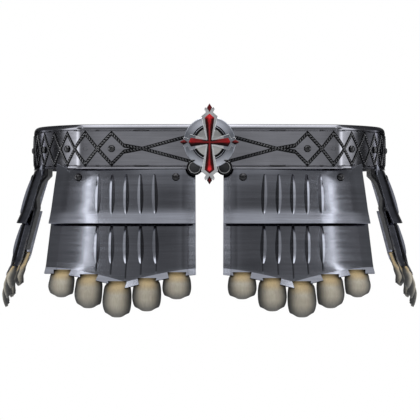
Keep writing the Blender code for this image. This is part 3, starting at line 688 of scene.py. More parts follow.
def enamel(name, deep, middling, bright):
    """Red enamel, with painted light: a painted highlight along its crests, broken by random wear, and at its
    tips; painted shade at the sides of the upright arms and under the level ones, whose tops are painted
    lighter."""
    recipe = Recipe(name, roughness=0.3, specular_ior_level=0.08)
    x, y, z = recipe.parts(recipe.place)
    crest = recipe.math("DIVIDE", recipe.math("ADD", y, -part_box("cross_enamel")[0][1]), ENAMEL_RIDGE * MM)
    clouds = recipe.noise(240.0, 5.0)
    # The crests' painted highlight, with noise for wear.
    crest_highlight_and_wear = recipe.math("ADD", crest, recipe.math("MULTIPLY", recipe.math("SUBTRACT", clouds, 0.5), 0.5))
    height = recipe.math("DIVIDE", recipe.math("SUBTRACT", z, MEDAL_HEIGHT * MM), ENAMEL_REACH * MM)
    aside = recipe.math("DIVIDE", x, ENAMEL_REACH * MM)
    reach = recipe.length(aside, height)
    level = recipe.ramp(recipe.math("ABSOLUTE", aside), ((0.15, 0.0), (0.3, 1.0)))
    under = recipe.math("ADD", recipe.math("MULTIPLY", height, 4.0), 0.5)
    # Painted shade and highlight: the level arms are darker under the middle and lighter above it, and the
    # upright arms deep at their sides.
    low = recipe.mix(deep, recipe.dim(middling, under, ((0.4, 0.2), (0.53, 1.6))), level)
    # Painted highlight on the top arm's tip.
    low = recipe.mix(low, bright, recipe.ramp(height, ((0.76, 0.0), (0.88, 0.7))))
    colour = recipe.mix(bright, low, recipe.ramp(crest_highlight_and_wear, ((0.22, 0.0), (0.55, 1.0))))
    # Painted highlight growing towards the tips.
    colour = recipe.dim(colour, reach, ((0.15, 0.6), (0.55, 0.85), (0.75, 1.35), (0.87, 2.6)))
    # Painted shadow under the level arms.
    shadow = recipe.mix((1.0, 1.0, 1.0), recipe.ramp(under, ((0.4, 0.25), (0.52, 1.0))), level)
    return recipe.finish(recipe.mix(colour, shadow, 1.0, "MULTIPLY"), clouds, 0.1, 0.1)


def hide(name, low, high, roughness):
    """Plain dark leather with a pored grain."""
    recipe = Recipe(name, roughness=roughness)
    pores = recipe.add("ShaderNodeTexVoronoi", recipe.place)
    pores.inputs["Scale"].default_value = 900.0
    grain = pores.outputs["Distance"]
    colour = recipe.mix(low, high, recipe.ramp(recipe.noise(55.0, 5.0), ((0.3, 0.0), (0.7, 1.0))))
    colour = recipe.dim(colour, grain, ((0.0, 0.75), (0.5, 1.0)), 0.7)
    return recipe.finish(colour, grain, 0.4, 0.12)


def moulded_leather(name):
    """Pale leather, with painted light: tan where it leaves the lame, as painted shade under the lame,
    painted shade darkening its sides, and painted shade that makes its end greyer and darker.
    """
    recipe = Recipe(name, roughness=0.55)
    x, down, _ = recipe.parts(recipe.add("ShaderNodeUVMap", uv_map="lappet_map").outputs["UV"])
    across = recipe.math("ABSOLUTE", x)
    clouds = recipe.ramp(recipe.noise(70.0, 5.0), ((0.3, 0.0), (0.7, 1.0)))
    fibres = recipe.noise(1.0, 3.0, recipe.stretched((900, 900, 60)))
    colour = recipe.mix((0.36, 0.32, 0.25), (0.45, 0.41, 0.33), clouds)
    # Painted shade under the lame: tan towards the root.
    colour = recipe.mix(colour, (0.44, 0.32, 0.15), recipe.ramp(down, ((0.0, 1.0), (0.12, 0.75), (0.3, 0.0))))
    # Painted shade at the end.
    colour = recipe.mix(colour, (0.10, 0.098, 0.092), recipe.ramp(down, ((0.6, 0.0), (0.93, 0.9))))
    # Painted shade at the sides, where the lappet turns away.
    sides = ((0.0, 1.1), (0.3, 1.0), (0.5, 0.72), (0.75, 0.24), (0.9, 0.03), (0.97, 0.01))
    colour = recipe.dim(colour, across, sides)
    colour = recipe.dim(colour, fibres, ((0.3, 0.78), (0.7, 1.0)), 0.8)
    return recipe.finish(colour, fibres, 0.3, 0.15)


def make_finishes():
    return {
        "belt": steel("brushed_belt_steel", (0.26, 0.26, 0.285), (0.21, 0.21, 0.23), 0.14),
        "plate": steel("brushed_plate_steel", (0.265, 0.273, 0.31), (0.22, 0.227, 0.26), 0.125),
        "shaded": steel("shaded_plate_steel", (0.08, 0.082, 0.094), (0.065, 0.067, 0.078), 0.2),
        "rope": steel("worn_rope_steel", (0.17, 0.17, 0.175), (0.05, 0.05, 0.055), 0.25),
        "black": steel("blackened_steel", (0.075, 0.075, 0.078), (0.04, 0.04, 0.042), 0.2),
        "bed": steel("blackened_bed_steel", (0.02, 0.02, 0.021), (0.01, 0.01, 0.011), 0.4),
        "silver": steel("satin_silver", (0.68, 0.68, 0.69), (0.60, 0.60, 0.61), 0.32),
        "grey_silver": steel("grey_satin_silver", (0.30, 0.315, 0.35), (0.24, 0.25, 0.28), 0.32),
        "disc": turned_steel_with_painted_sheen("turned_disc_steel_painted_sheen", (0.60, 0.62, 0.69), (0.20, 0.21, 0.24), 0.3),
        "field": steel("pale_field_steel", (0.55, 0.55, 0.54), (0.40, 0.40, 0.395), 0.34),
        "web": steel("dark_web_painted_shade_steel", (0.10, 0.10, 0.105), (0.03, 0.03, 0.032), 0.35),
        "wire": steel("scroll_wire_painted_highlight_steel", (0.62, 0.62, 0.62), (0.45, 0.45, 0.45), 0.3),
        "enamel": enamel("red_enamel", (0.022, 0.002, 0.002), (0.15, 0.008, 0.009), (0.30, 0.014, 0.016)),
        "stone": enamel(
            "dark_red_enamel", (0.006, 0.001, 0.001), (0.035, 0.003, 0.003), (0.045, 0.003, 0.004)
        ),
        "lappet": moulded_leather("pale_leather"),
        "strap": hide("strap_leather", (0.010, 0.010, 0.011), (0.018, 0.018, 0.020), 0.6),
    }


# The belt


LOZENGE_PITCH = (QUARTER - SECOND_LOZENGE) / (SIDE_LOZENGE - 1)


def lozenge_middle(i):
    return SECOND_LOZENGE + (i - 1) * LOZENGE_PITCH if i else FIRST_LOZENGE


def lozenge_end(i):
    return lozenge_middle(i) + (LOZENGE_PITCH / 2 if i else FIRST_HALF)


def rope_line(sign):
    """One rope's middle line, as (s, z): from the medallion through the crossing, then round the lozenges."""
    spreads = [(ROPE_START, ROPE_START_SPREAD), (ROPE_CROSSING, 0.0), (ROPE_FORK, -ROPE_FORK_SPREAD)]
    for i in range(LOZENGES):
        spreads.append((lozenge_middle(i), -ROPE_HEIGHT * (-1) ** i))
        spreads.append((lozenge_end(i), 0.0))
    return [(s, ROPE_MIDDLE + sign * z) for s, z in spreads]


def add_strip(plan, finish):
    """Half the belt: a wall with a rolled rim, two engraved lines and a bead along its foot."""
    wall_top = BELT_TOP - BELT_LIP
    size = (2 * (QUARTER - BELT_JOINT), BELT_WALL, wall_top - BELT_BOTTOM)
    middle = (QUARTER, BELT_WALL / 2, (wall_top + BELT_BOTTOM) / 2)
    strip = primitive("cube", "belt_strip_left", size=1, scale=size, location=middle)
    with shaping(strip):
        pick(lambda c, n: n.z > 0.9, "FACE")
        hinge = (0, BELT_LIP * MM, wall_top * MM)
        bpy.ops.mesh.spin(steps=8, angle=math.radians(90), center=hinge, axis=(1, 0, 0))
        for groove in (HIGH_GROOVE, LOW_GROOVE):
            cut([groove + GROOVE_HALF * step for step in (-1, -0.4, 0.4, 1)], 2)
            pick(lambda c: near(c.y, 0) and abs(c.z - groove) < GROOVE_HALF * 0.6)
            move(y=GROOVE_DEPTH)
        supports = (HIGH_GROOVE + GROOVE_SUPPORT, HIGH_GROOVE - GROOVE_SUPPORT, LOW_GROOVE + GROOVE_SUPPORT)
        cut((*supports, BELT_BOTTOM + FOOT_SUPPORT), 2)
        pick(lambda c: near(c.y, 0) and near(c.z, BELT_BOTTOM))
        move(y=-FOOT_BEAD)
        pick(lambda c: near(c.z, BELT_BOTTOM))
        move(z=-FOOT_DROP)
        cut(belt_stations(), 0)
    tidy_normals(strip)
    soften(strip, 0.15)
    bend(strip, plan)
    dress_pair(strip, finish, "belt_steel", "belt_left")


def rope_bed(line, rise):
    """The sunk ribbon that a rope lies in, drawn out edge by edge along its line."""
    reach = []
    for i, (s, z) in enumerate(line):
        beside = [line[k] for k in (i - 1, i + 1) if 0 <= k < len(line)]
        stretch = [math.dist((s, z), other) / abs(other[0] - s) for other in beside]
        reach.append(BED_HALF * sum(stretch) / len(stretch))
    (s, z), (next_s, next_z) = line[0], line[1]
    bed = primitive("plane", "rope_bed", size=1, rotation=UPRIGHT)
    with shaping(bed):
        pick_all()
        spread(x=next_s - s, z=2 * reach[0])
        move(x=(s + next_s) / 2, y=-rise, z=z)
        pick(lambda c: near(c.x, next_s))
        spread(z=reach[1] / reach[0], about=(next_s, -rise, z))
        move(z=next_z - z)
        for i in range(2, len(line)):
            pick(lambda c: near(c.x, line[i - 1][0]), "EDGE")
            extrude(x=line[i][0] - line[i - 1][0], z=line[i][1] - line[i - 1][1])
            spread(z=reach[i] / reach[i - 1], about=(line[i][0], -rise, line[i][1]))
        pick_all()
        extrude(y=rise + BED_SINK)
    tidy_normals(bed)
    return bed


def add_ropes(plan, finishes):
    """Twisted ropes: slanted beads, laid end to end along each straight run, over a dark bed."""
    bead = primitive("uv_sphere", "bead", segments=8, ring_count=6, radius=1.0, scale=BEAD_SIZE)
    placed(bead, turn=(0, math.radians(BEAD_SLANT), 0))
    beads = []
    for sign in (1, -1):
        line = rope_line(sign)
        for (s, z), (next_s, next_z) in zip(line, line[1:]):
            length = math.dist((s, z), (next_s, next_z))
            count = round(length / BEAD_PITCH)
            run = copy_of(bead, "rope_run")
            offset = {"use_constant_offset": True, "constant_offset_displace": (length / count * MM, 0, 0)}
            apply(run, "ARRAY", count=count, use_relative_offset=False, **offset)
            slope = math.atan2(next_z - z, next_s - s)
            half = length / count / 2
            start = (s + half * math.cos(slope), -BED_RISE - BEAD_LIFT, z + half * math.sin(slope))
            placed(run, start, (0, -slope, 0))
            beads.append(run)
    discard(bead)
    ropes = joined(beads, "belt_ropes_left")
    shade(ropes, 80)
    bend(ropes, plan)
    dress_pair(ropes, finishes["rope"], "belt_steel", "belt_left")
    beds = [rope_bed(rope_line(1), BED_RISE), rope_bed(rope_line(-1), SECOND_BED_RISE)]
    bed = joined(beds, "belt_rope_beds_left")
    with shaping(bed):
        cut(belt_stations(), 0)
    bend(bed, plan)
    shade(bed)
    dress_pair(bed, finishes["bed"], "dark_steel", "belt_left")


def dome(name, radius, height, foot, finishes):
    """A domed head that stands out towards the front from a flat foot at the origin."""
    shoulder = height * DOME_SHOULDER
    depth = shoulder + foot
    head = primitive("cylinder", name, vertices=STUD_SIDES, radius=radius, depth=depth, rotation=UPRIGHT)
    placed(head, (0, (foot - shoulder) / 2, 0), (0, math.pi / STUD_SIDES, 0))
    with shaping(head):
        step_in(1.0, [(step["share"], -step["rise"] * height) for step in DOME_STEPS])
    tidy_normals(head)
    soften(head, 0.12, 1, 20)
    shade(head, 12)
    add_finishes(head, finishes["black"], finishes["bed"])
    # Painted shade: the faces of the head that do not face the front get the near-black bed steel.
    paint(head, 1, lambda c, n: n.y > -0.35)
    return head


def punched(name, half_width, half_height):
    """A small pit, lens-shaped, as a dark dish let into the face."""
    pit = primitive("cylinder", name, vertices=16, radius=1.0, depth=PUNCH_WALL, rotation=UPRIGHT)
    with shaping(pit):
        pick_all()
        spread(x=half_width, z=half_height)
        move(y=PUNCH_SET)
        sink_front(half_height * PUNCH_RIM, PUNCH_DEPTH)
    tidy_normals(pit)
    shade(pit)
    return pit


def add_studs(plan, finishes):
    """Domed studs in every second lozenge, small punched cups in the others, and leaf-shaped punch marks."""
    stud = dome("stud", STUD_RADIUS, STUD_HEIGHT, STUD_FOOT, finishes)
    cup, mark, leaf = [punched(**punch) for punch in PUNCHES]
    studs, marks = [], []
    for i in range(LOZENGES):
        copy = copy_of(cup if i % 2 else stud, "copy")
        placed(copy, (lozenge_middle(i), 0, ROPE_MIDDLE))
        (marks if i % 2 else studs).append(copy)
    for z in (HIGH_GROOVE, LOW_GROOVE):
        inside = z - math.copysign(PUNCH_INSET, z)
        for s, pattern in [(lozenge_end(i), mark) for i in range(LOZENGES)] + [(LEAF_PLACE, leaf)]:
            marks.append(copy_of(pattern, "copy"))
            placed(marks[-1], (s, 0, inside))
    for pattern in (stud, cup, mark, leaf):
        discard(pattern)
    for pieces, name in ((studs, "belt_studs_left"), (marks, "belt_punch_marks_left")):
        piece = joined(pieces, name)
        bend(piece, plan)
        dress_pair(piece, finishes["black"], "dark_steel", "belt_left")


def add_clasp(finish):
    """The clasp at the back: a plate with cut corners, sunk a little inside its rim."""
    low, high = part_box("back_clasp")
    size = [(b - a) / MM for a, b in zip(low, high)]
    middle = [(b + a) / 2 / MM for a, b in zip(low, high)]
    clasp = primitive("cube", "back_clasp_plate", size=1, scale=size, location=middle)
    with shaping(clasp):
        bpy.ops.mesh.select_mode(type="EDGE")
        bm = bmesh.from_edit_mesh(clasp.data)
        for edge in bm.edges:
            across = edge.verts[0].co - edge.verts[1].co
            edge.select_set(abs(across.y) > 1.5 * MM)
        bmesh.update_edit_mesh(clasp.data)
        bpy.ops.mesh.bevel(offset=CLASP_CORNER * MM, segments=1)
        pick(lambda c, n: n.y > 0.9, "FACE")
        inset(CLASP_RIM)
        move(y=-CLASP_SINK)
    tidy_normals(clasp)
    soften(clasp, 0.3)
    dress(clasp, finish, "belt_steel", "back_clasp")


# The medallion


def medal(x, depth, z):
    return (x, -BELT_HALF_DEPTH - depth, MEDAL_HEIGHT + z)


def add_disc(finishes):
    """The turned plate: a bevelled rim, a black groove with a wire in it, and the field behind the cross."""
    depth = DISC_FRONT - DISC_BACK + DISC_STEPS[0]["move"]
    middle = medal(0, DISC_BACK + depth / 2, 0)
    disc = primitive("cylinder", "medal_disc", vertices=96, radius=DISC_RADIUS, depth=depth, rotation=UPRIGHT)
    placed(disc, middle)
    with shaping(disc):
        step_in(DISC_RADIUS, [(step["radius"], step["move"]) for step in DISC_STEPS], middle)
        pick(lambda c, n: n.y > 0.9, "FACE")
        extrude()
        spread(x=HUB_RADIUS / DISC_RADIUS, z=HUB_RADIUS / DISC_RADIUS, about=middle)
        extrude(y=DISC_BACK - HUB_GAP)
    tidy_normals(disc)
    soften(disc, 0.1)
    add_finishes(disc, finishes["disc"], finishes["bed"], finishes["field"])
    paint(disc, 1, in_groove)
    paint(disc, 2, in_field)
    dress(disc, None, "disc_steel", "boss_disc")


def in_groove(c, n):
    low, high = GROOVE_RADII
    depth = -c.y - BELT_HALF_DEPTH
    return low < math.hypot(c.x, c.z - MEDAL_HEIGHT) < high and DISC_BACK + 1 < depth < DISC_FRONT - 0.5


def in_field(c, n):
    return math.hypot(c.x, c.z - MEDAL_HEIGHT) < FIELD_RADIUS and n.y < -0.5


def add_mount(finishes):
    """The silver cross. Each arm is drawn out of the middle to its shoulders, neck, wings and horns."""
    crook, tip = MOUNT_HALVES["crook"], MOUNT_HALVES["tip"]
    arms = []
    for arm in MOUNT_ARMS:
        piece = primitive("plane", "mount_arm", size=2 * crook, rotation=UPRIGHT)
        with shaping(piece):
            cut((-tip, 0, tip), 0)
            along, half = crook, crook
            for name in ("shoulder", "neck", "wing", "horn"):
                pick_row(along, "EDGE")
                extrude(z=arm[name] - along)
                along = arm[name]
                pick(lambda c: near(c.z, along) and abs(c.x) > tip + 0.05)
                spread(x=MOUNT_HALVES[name] / half, about=(0, 0, along))
                half = MOUNT_HALVES[name]
            pick(lambda c: near(c.z, arm["horn"]) and abs(c.x) < tip + 0.05)
            move(z=arm["tip"] - arm["horn"])
            pick(lambda c, n: c.z < 0.5 * crook, "FACE")
            bpy.ops.mesh.delete(type="FACE")
        placed(piece, turn=(0, math.radians(90) * arm["turns"], 0))
        arms.append(piece)
    core = primitive("plane", "mount_core", size=2 * crook, rotation=UPRIGHT)
    mount = joined([core] + arms, "cross_mount_silver")
    with shaping(mount):
        cut((-MOUNT_GREY_FROM, -tip, 0, tip, MOUNT_GREY_FROM), 0)
        cut((-tip, 0, tip), 2)
        pick_all()
        bpy.ops.mesh.remove_doubles(threshold=0.05 * MM)
    tidy_normals(mount, front=True)
    placed(mount, medal(0, MOUNT_BACK + MOUNT_WALL, 0))
    apply(mount, "SOLIDIFY", thickness=MOUNT_WALL * MM, offset=-1)
    soften(mount, 0.45, 3)
    add_finishes(mount, finishes["silver"], finishes["grey_silver"])
    paint(mount, 1, on_level_arm)
    dress(mount, None, "mount_silver", "cross_mount")


def on_level_arm(c, n):
    return abs(c.x) > MOUNT_GREY_FROM and abs(c.z - MEDAL_HEIGHT) < MOUNT_GREY_HALF and n.y < -0.9


def add_stones(finishes):
    """The red cross and its four stones, with their facets' edges eased."""
    for node in ("cross_enamel", "diamond_top", "diamond_bottom", "diamond_left", "diamond_right"):
        stone = copy_of_node(node, node + "_cut")
        with shaping(stone):
            pick_all()
            bpy.ops.mesh.dissolve_limited(angle_limit=math.radians(1))
        soften(stone, 0.3, 3, 12)
        dress(stone, finishes["enamel" if node == "cross_enamel" else "stone"], "red_enamel", node)


def add_scrolls(finishes):
    """Scrolls: a round bar bent into a C round a dark web, whose dark colour is painted shade inside the C.
    Its pointed end climbs over the disc's rim; a light wire inside the C and light outer faces on that end
    are painted highlights.
    """
    x, z = SCROLL_MIDDLE
    ring = primitive("circle", "scroll_ring", vertices=12, radius=SCROLL_BAR, fill_type="NGON")
    placed(ring, (SCROLL_RING, 0, 0))
    placed(ring, turn=(0, math.radians(-SCROLL_START), 0))
    with shaping(ring):
        pick_all()
        turn = math.radians(-SCROLL_TURN)
        bpy.ops.mesh.spin(steps=SCROLL_STEPS, angle=turn, center=(0, 0, 0), axis=(0, 1, 0))
        for row in CLAW:
            angle, size = math.radians(row["angle"]), row["size"]
            middle = (SCROLL_RING * math.cos(angle), 0, SCROLL_RING * math.sin(angle))
            pick(lambda c: abs(math.degrees(math.atan2(c.z, c.x)) - row["angle"]) < CLAW_REACH)
            spread(x=size, y=size, z=size, about=middle)
            move(y=-row["forward"])
    tidy_normals(ring)
    add_finishes(ring, finishes["bed"], finishes["wire"])
    # Painted highlight: the outer faces of the pointed end get the light wire steel.
    paint(ring, 1, lambda c, n: c.x > 0 and c.z > c.x and n.x * c.x + n.z * c.z > 2)
    placed(ring, medal(x, SCROLL_DEPTH, z))
    shade(ring, 60)
    # The web's dark colour is painted shade inside the C.
    web = primitive("cylinder", "scroll_web", vertices=32, radius=SCROLL_RING, depth=1.0, rotation=UPRIGHT)
    with shaping(web):
        sink_front(WEB_RIM, WEB_SINK)
    placed(web, medal(x, WEB_DEPTH, z))
    shade(web)
    # The light wire stands for the highlight line inside the C: a painted highlight.
    radii = {"major_radius": WIRE_RING, "minor_radius": WIRE_BAR}
    wire = primitive("torus", "scroll_wire", major_segments=48, minor_segments=8, rotation=UPRIGHT, **radii)
    placed(wire, medal(x, WIRE_DEPTH, z))
    shade(wire, 60)
    add_finishes(web, finishes["web"])
    add_finishes(wire, finishes["wire"])
    scroll = joined([ring, web, wire], "medal_scroll_left")
    dress_pair(scroll, None, "dark_steel", "scroll_left")


# The tassets


def profile_out(profile, z):
    for above, below in zip(profile, profile[1:]):
        if z >= below["z"]:
            share = (above["z"] - z) / (above["z"] - below["z"])
            return above["out"] + share * (below["out"] - above["out"])
    last = profile[-1]
    return last["out"] + (last["z"] - z) * SKIRT_SLOPE


def rib_middle(kind, out):
    return TASSETS[kind]["slant"] * (RIB_SHIFT + RIB_SLANT * out)


def rib_columns(kind, out=0.0):
    return [rib_middle(kind, out) + (i - (RIB_COUNT - 1) / 2) * RIB_PITCH for i in range(RIB_COUNT)]


def edge_height(kind, u):
    share = max(0.0, 1 - abs(u - rib_middle(kind, EDGE_OUT)) / EDGE_REACH)
    return EDGE_HEIGHT + TASSETS[kind]["lift"] - EDGE_POINT * share**EDGE_POWER


def lip_out(kind, u, z):
    bend_height = edge_height(kind, u) + LIP_HEIGHT
    out = profile_out(LOWER_PROFILE, max(z, bend_height))
    return out + max(0.0, bend_height - z) * LIP_SLOPE


def flange_sink(u):
    """How far a lame lies back where its flanges turn away. The fore one bends round, the aft one creases."""
    aft, fore = u - (HALF - AFT_FLANGE), FORE_BEND - u
    rounded = max(0.0, fore + FORE_ROUND)
    rounded = rounded**2 / (4 * FORE_ROUND) if rounded < 2 * FORE_ROUND else fore
    return max(0.0, aft * AFT_SLOPE, rounded * FORE_SLOPE)


def out_beside_belt(kind, u, outset):
    """The out at which a tasset's face lies a given distance outside the belt's face."""
    out = 0.0
    for _ in range(3):
        x, y, heading = tasset_place(kind, u, out)
        best = min(BELT_WALK, key=lambda w: (w[0] - x) ** 2 + (w[1] - y) ** 2)
        now = (x - best[0]) * math.sin(best[2]) - (y - best[1]) * math.cos(best[2])
        out += (outset - now) / max(0.4, math.cos(heading - best[2]))
    return out


def swell(kind, u, z):
    """How far an upper lame's top swells out to meet the belt where the belt stands farther out."""
    most = min(SWELL_MOST, max(0.0, out_beside_belt(kind, u, 0) - SWELL_FROM) * SWELL_SHARE)
    return most * max(0.0, (z - SWELL_FOOT) / (BELT_BOTTOM - SWELL_FOOT))


def draw_lame(name, kind, rows):
    """A flat sheet, raised into ribs between its flanges."""
    ribs = rib_columns(kind)
    lame = draw_sheet(name, rows, COLUMNS)
    with shaping(lame):
        if kind == "front":
            cut((FRONT_COLUMN,), 0)
        for middle in ribs:
            reach = RIB_HALF + RIB_SUPPORT
            cut((middle - reach, middle - RIB_HALF, middle, middle + RIB_HALF, middle + reach), 0)
        for between in ribs[:-1]:
            cut((between + RIB_PITCH / 2,), 0)
        for row in rows:
            shift = rib_middle(kind, row["out"]) - rib_middle(kind, 0.0)
            pick(lambda c: near(c.z, row["z"]) and ribs[0] - RIB_MARGIN < c.x < ribs[-1] + RIB_MARGIN)
            move(x=shift)
            for middle in ribs:
                place = middle + shift
                pick(lambda c: near(c.z, row["z"]) and abs(c.x - place) < RIB_HALF + RIB_SUPPORT + 0.05)
                spread(x=max(RIB_NARROWEST, row["rib"]), about=(place, 0, 0))
                if row["rib"]:
                    pick(lambda c: near(c.z, row["z"]) and near(c.x, place))
                    move(y=-RIB_RELIEF * row["rib"])
        for u in COLUMNS:
            if flange_sink(u):
                pick(lambda c: near(c.x, u))
                move(y=flange_sink(u))
    return lame


def on_inner_side(c, n):
    """The side of a rib that faces the middle of the fauld."""
    return n.x < RIB_SIDE_FACING and abs(c.x) < RIB_SIDE_REACH and c.z < RIB_SIDE_TOP


def places_along(lame, z):
    """The places, across a lame in edit mode, of its points at a height."""
    verts = bmesh.from_edit_mesh(lame.data).verts
    return sorted({round(vert.co.x / MM, 2) for vert in verts if near(vert.co.z / MM, z)})


def thicken(lame, finishes):
    """Gives a lame its finishes and its wall."""
    tidy_normals(lame, front=True)
    add_finishes(lame, finishes["plate"], finishes["shaded"])
    # Painted shade: the sides of the ribs that face the middle get the darker shaded steel.
    paint(lame, 1, on_inner_side)
    apply(lame, "SOLIDIFY", thickness=LAME_WALL * MM, offset=-1)


def dress_lame(lame, plan, angle, node):
    """Eases a lame's edges, bends it round its plan and dresses it on both sides."""
    soften(lame, 0.22, angle=78)
    bend(lame, plan)
    shade(lame, angle)
    dress_pair(lame, None, "plate_steel", node)


def add_upper_lame(kind, plan, finishes):
    """The upper lame. Its top goes up behind the belt, and an ear of its flange laps up outside it."""
    rows = [dict(row, out=profile_out(UPPER_PROFILE, row["z"])) for row in UPPER_ROWS]
    lame = draw_lame(f"upper_{kind}_lame_left", kind, rows)
    aft, fore = HALF - AFT_FLANGE, HALF - FORE_FLANGE
    side = kind == "side"

    def above_gap(c, n):
        return c.z > HIDDEN_TOP and (AFT_GAP < c.x < aft or (side and FORE_GAP < -c.x < fore))

    with shaping(lame):
        pick(above_gap, "FACE")
        bpy.ops.mesh.delete(type="FACE")
        for row in rows[:3]:
            for u in places_along(lame, row["z"]):
                z, out = row["z"], row["out"] - flange_sink(u)
                if u > aft - 0.1 or (side and u < 0.1 - fore):
                    width = AFT_FLANGE if u > 0 else FORE_FLANGE
                    if row is rows[0]:
                        z = BELT_BOTTOM + EAR_HEIGHT * (1 - (HALF - abs(u)) / width)
                    leaning = rows[3]["out"] - (z - rows[3]["z"]) * EAR_LEAN - flange_sink(u)
                    wanted = max(leaning, out_beside_belt(kind, u, EAR_OUTSET))
                elif row is rows[2]:
                    wanted = out
                else:
                    wanted = min(out, out_beside_belt(kind, u, -HIDDEN_INSET))
                pick_point(u, row["z"])
                move(y=out - wanted, z=z - row["z"])
        for row in rows[2:]:
            if row["z"] > SWELL_FOOT:
                for u in places_along(lame, row["z"]):
                    pick_point(u, row["z"])
                    move(y=-swell(kind, u, row["z"]))
    thicken(lame, finishes)
    dress_lame(lame, plan, 10, f"upper_lame_{kind}_left")


def add_lower_lame(kind, plan, finishes):
    """The lower lame: a flared lip along a pointed edge, which is notched for the lappets."""
    lift = TASSETS[kind]["lift"] / LIFT_OVER
    rows = [dict(row, z=round(row["z"] + lift * max(0.0, LIFT_FROM - row["z"]), 2)) for row in LOWER_ROWS]
    rows = [dict(row, out=profile_out(LOWER_PROFILE, row["z"])) for row in rows]
    lame = draw_lame(f"lower_{kind}_lame_left", kind, rows)
    last = rows[-1]
    below = last["z"] - DRAWN_DOWN
    with shaping(lame):
        pick_row(last["z"], "EDGE")
        extrude(z=-DRAWN_DOWN)
        crests = rib_columns(kind, last["out"])
        for u in places_along(lame, below):
            pick_point(u, below)
            z = edge_height(kind, u) + LIP_HEIGHT
            relief = RIB_RELIEF * last["rib"] if any(near(u, crest) for crest in crests) else 0.0
            move(y=last["out"] - profile_out(LOWER_PROFILE, z) + relief, z=z - below)
        pick(lambda c: c.z < last["z"] - 0.5, "EDGE")
        for step in LIP_STEPS:
            extrude(y=-LIP_HEIGHT * LIP_SLOPE * step["out"], z=-LIP_HEIGHT * step["down"])
    thicken(lame, finishes)
    for lappet in LAPPETS:
        cut_notch(lame, kind, lappet["u"])
    with shaping(lame):
        for crease in CREASES:
            u = crease["u"]
            cut((u - CREASE_HALF, u, u + CREASE_HALF), 0)
            bpy.ops.mesh.select_all(action="DESELECT")
            bm = bmesh.from_edit_mesh(lame.data)
            for vert in bm.verts:
                vert.select_set(near(vert.co.x / MM, u, 0.02) and vert.normal.y < -0.5)
            bmesh.update_edit_mesh(lame.data)
            move(y=-crease["raised"])
    dress_lame(lame, plan, 7, f"lower_lame_{kind}_left")


def cut_notch(lame, kind, u):
    """Cuts a dovetail notch out of the lower edge, wider at its top than at its mouth."""
    edge = edge_height(kind, u)
    middle = (u, -lip_out(kind, u, edge), edge + (NOTCH_DEPTH - NOTCH_CUT) / 2)
    size = (2 * NOTCH_TOP, 2 * NOTCH_CUT, NOTCH_DEPTH + NOTCH_CUT)
    cutter = primitive("cube", "notch", size=1, scale=size, location=middle)
    flare = (NOTCH_TOP - NOTCH_MOUTH) / NOTCH_DEPTH
    with shaping(cutter):
        pick(lambda c: c.z < edge)
        spread(x=1 - flare * (NOTCH_DEPTH + NOTCH_CUT) / NOTCH_TOP, about=(u, 0, 0))
    apply(lame, "BOOLEAN", object=cutter, operation="DIFFERENCE", solver="EXACT")
    discard(cutter)


def add_rivets(kind, plan, finishes):
    """The domed rivets near the top of an upper lame, each lying against its leaning face."""
    rivet = dome("rivet", RIVET_RADIUS, RIVET_HEIGHT, RIVET_FOOT, finishes)
    low, high = RIVET_DROP - RIVET_RADIUS, RIVET_ABOVE
    out = profile_out(UPPER_PROFILE, RIVET_DROP)
    lean = math.atan((profile_out(UPPER_PROFILE, low) - profile_out(UPPER_PROFILE, high)) / (high - low))
    for name, side in (("fore", -1), ("aft", 1)):
        head = copy_of(rivet, f"{kind}_rivet_{name}_left")
        u = rib_middle(kind, RIVET_OUT) + side * RIVET_SPREAD
        placed(head, (u, -out - RIVET_FOOT - swell(kind, u, RIVET_DROP), RIVET_DROP), (-lean, 0, 0))
        bend(head, plan)
        dress_pair(head, None, "dark_steel", f"rivet_{kind}_left_{name}")
    discard(rivet)


def add_hangers(kind, finish):
    """The leathers that carry the lames, with their edges rounded."""
    for side in ("fore", "aft"):
        node = f"hanger_{kind}_left_{side}"
        strap = copy_of_node(node, f"{kind}_hanger_{side}_left")
        soften(strap, 0.35, 3, 40)
        shade(strap, 50)
        dress_pair(strap, finish, "strap_leather", node)


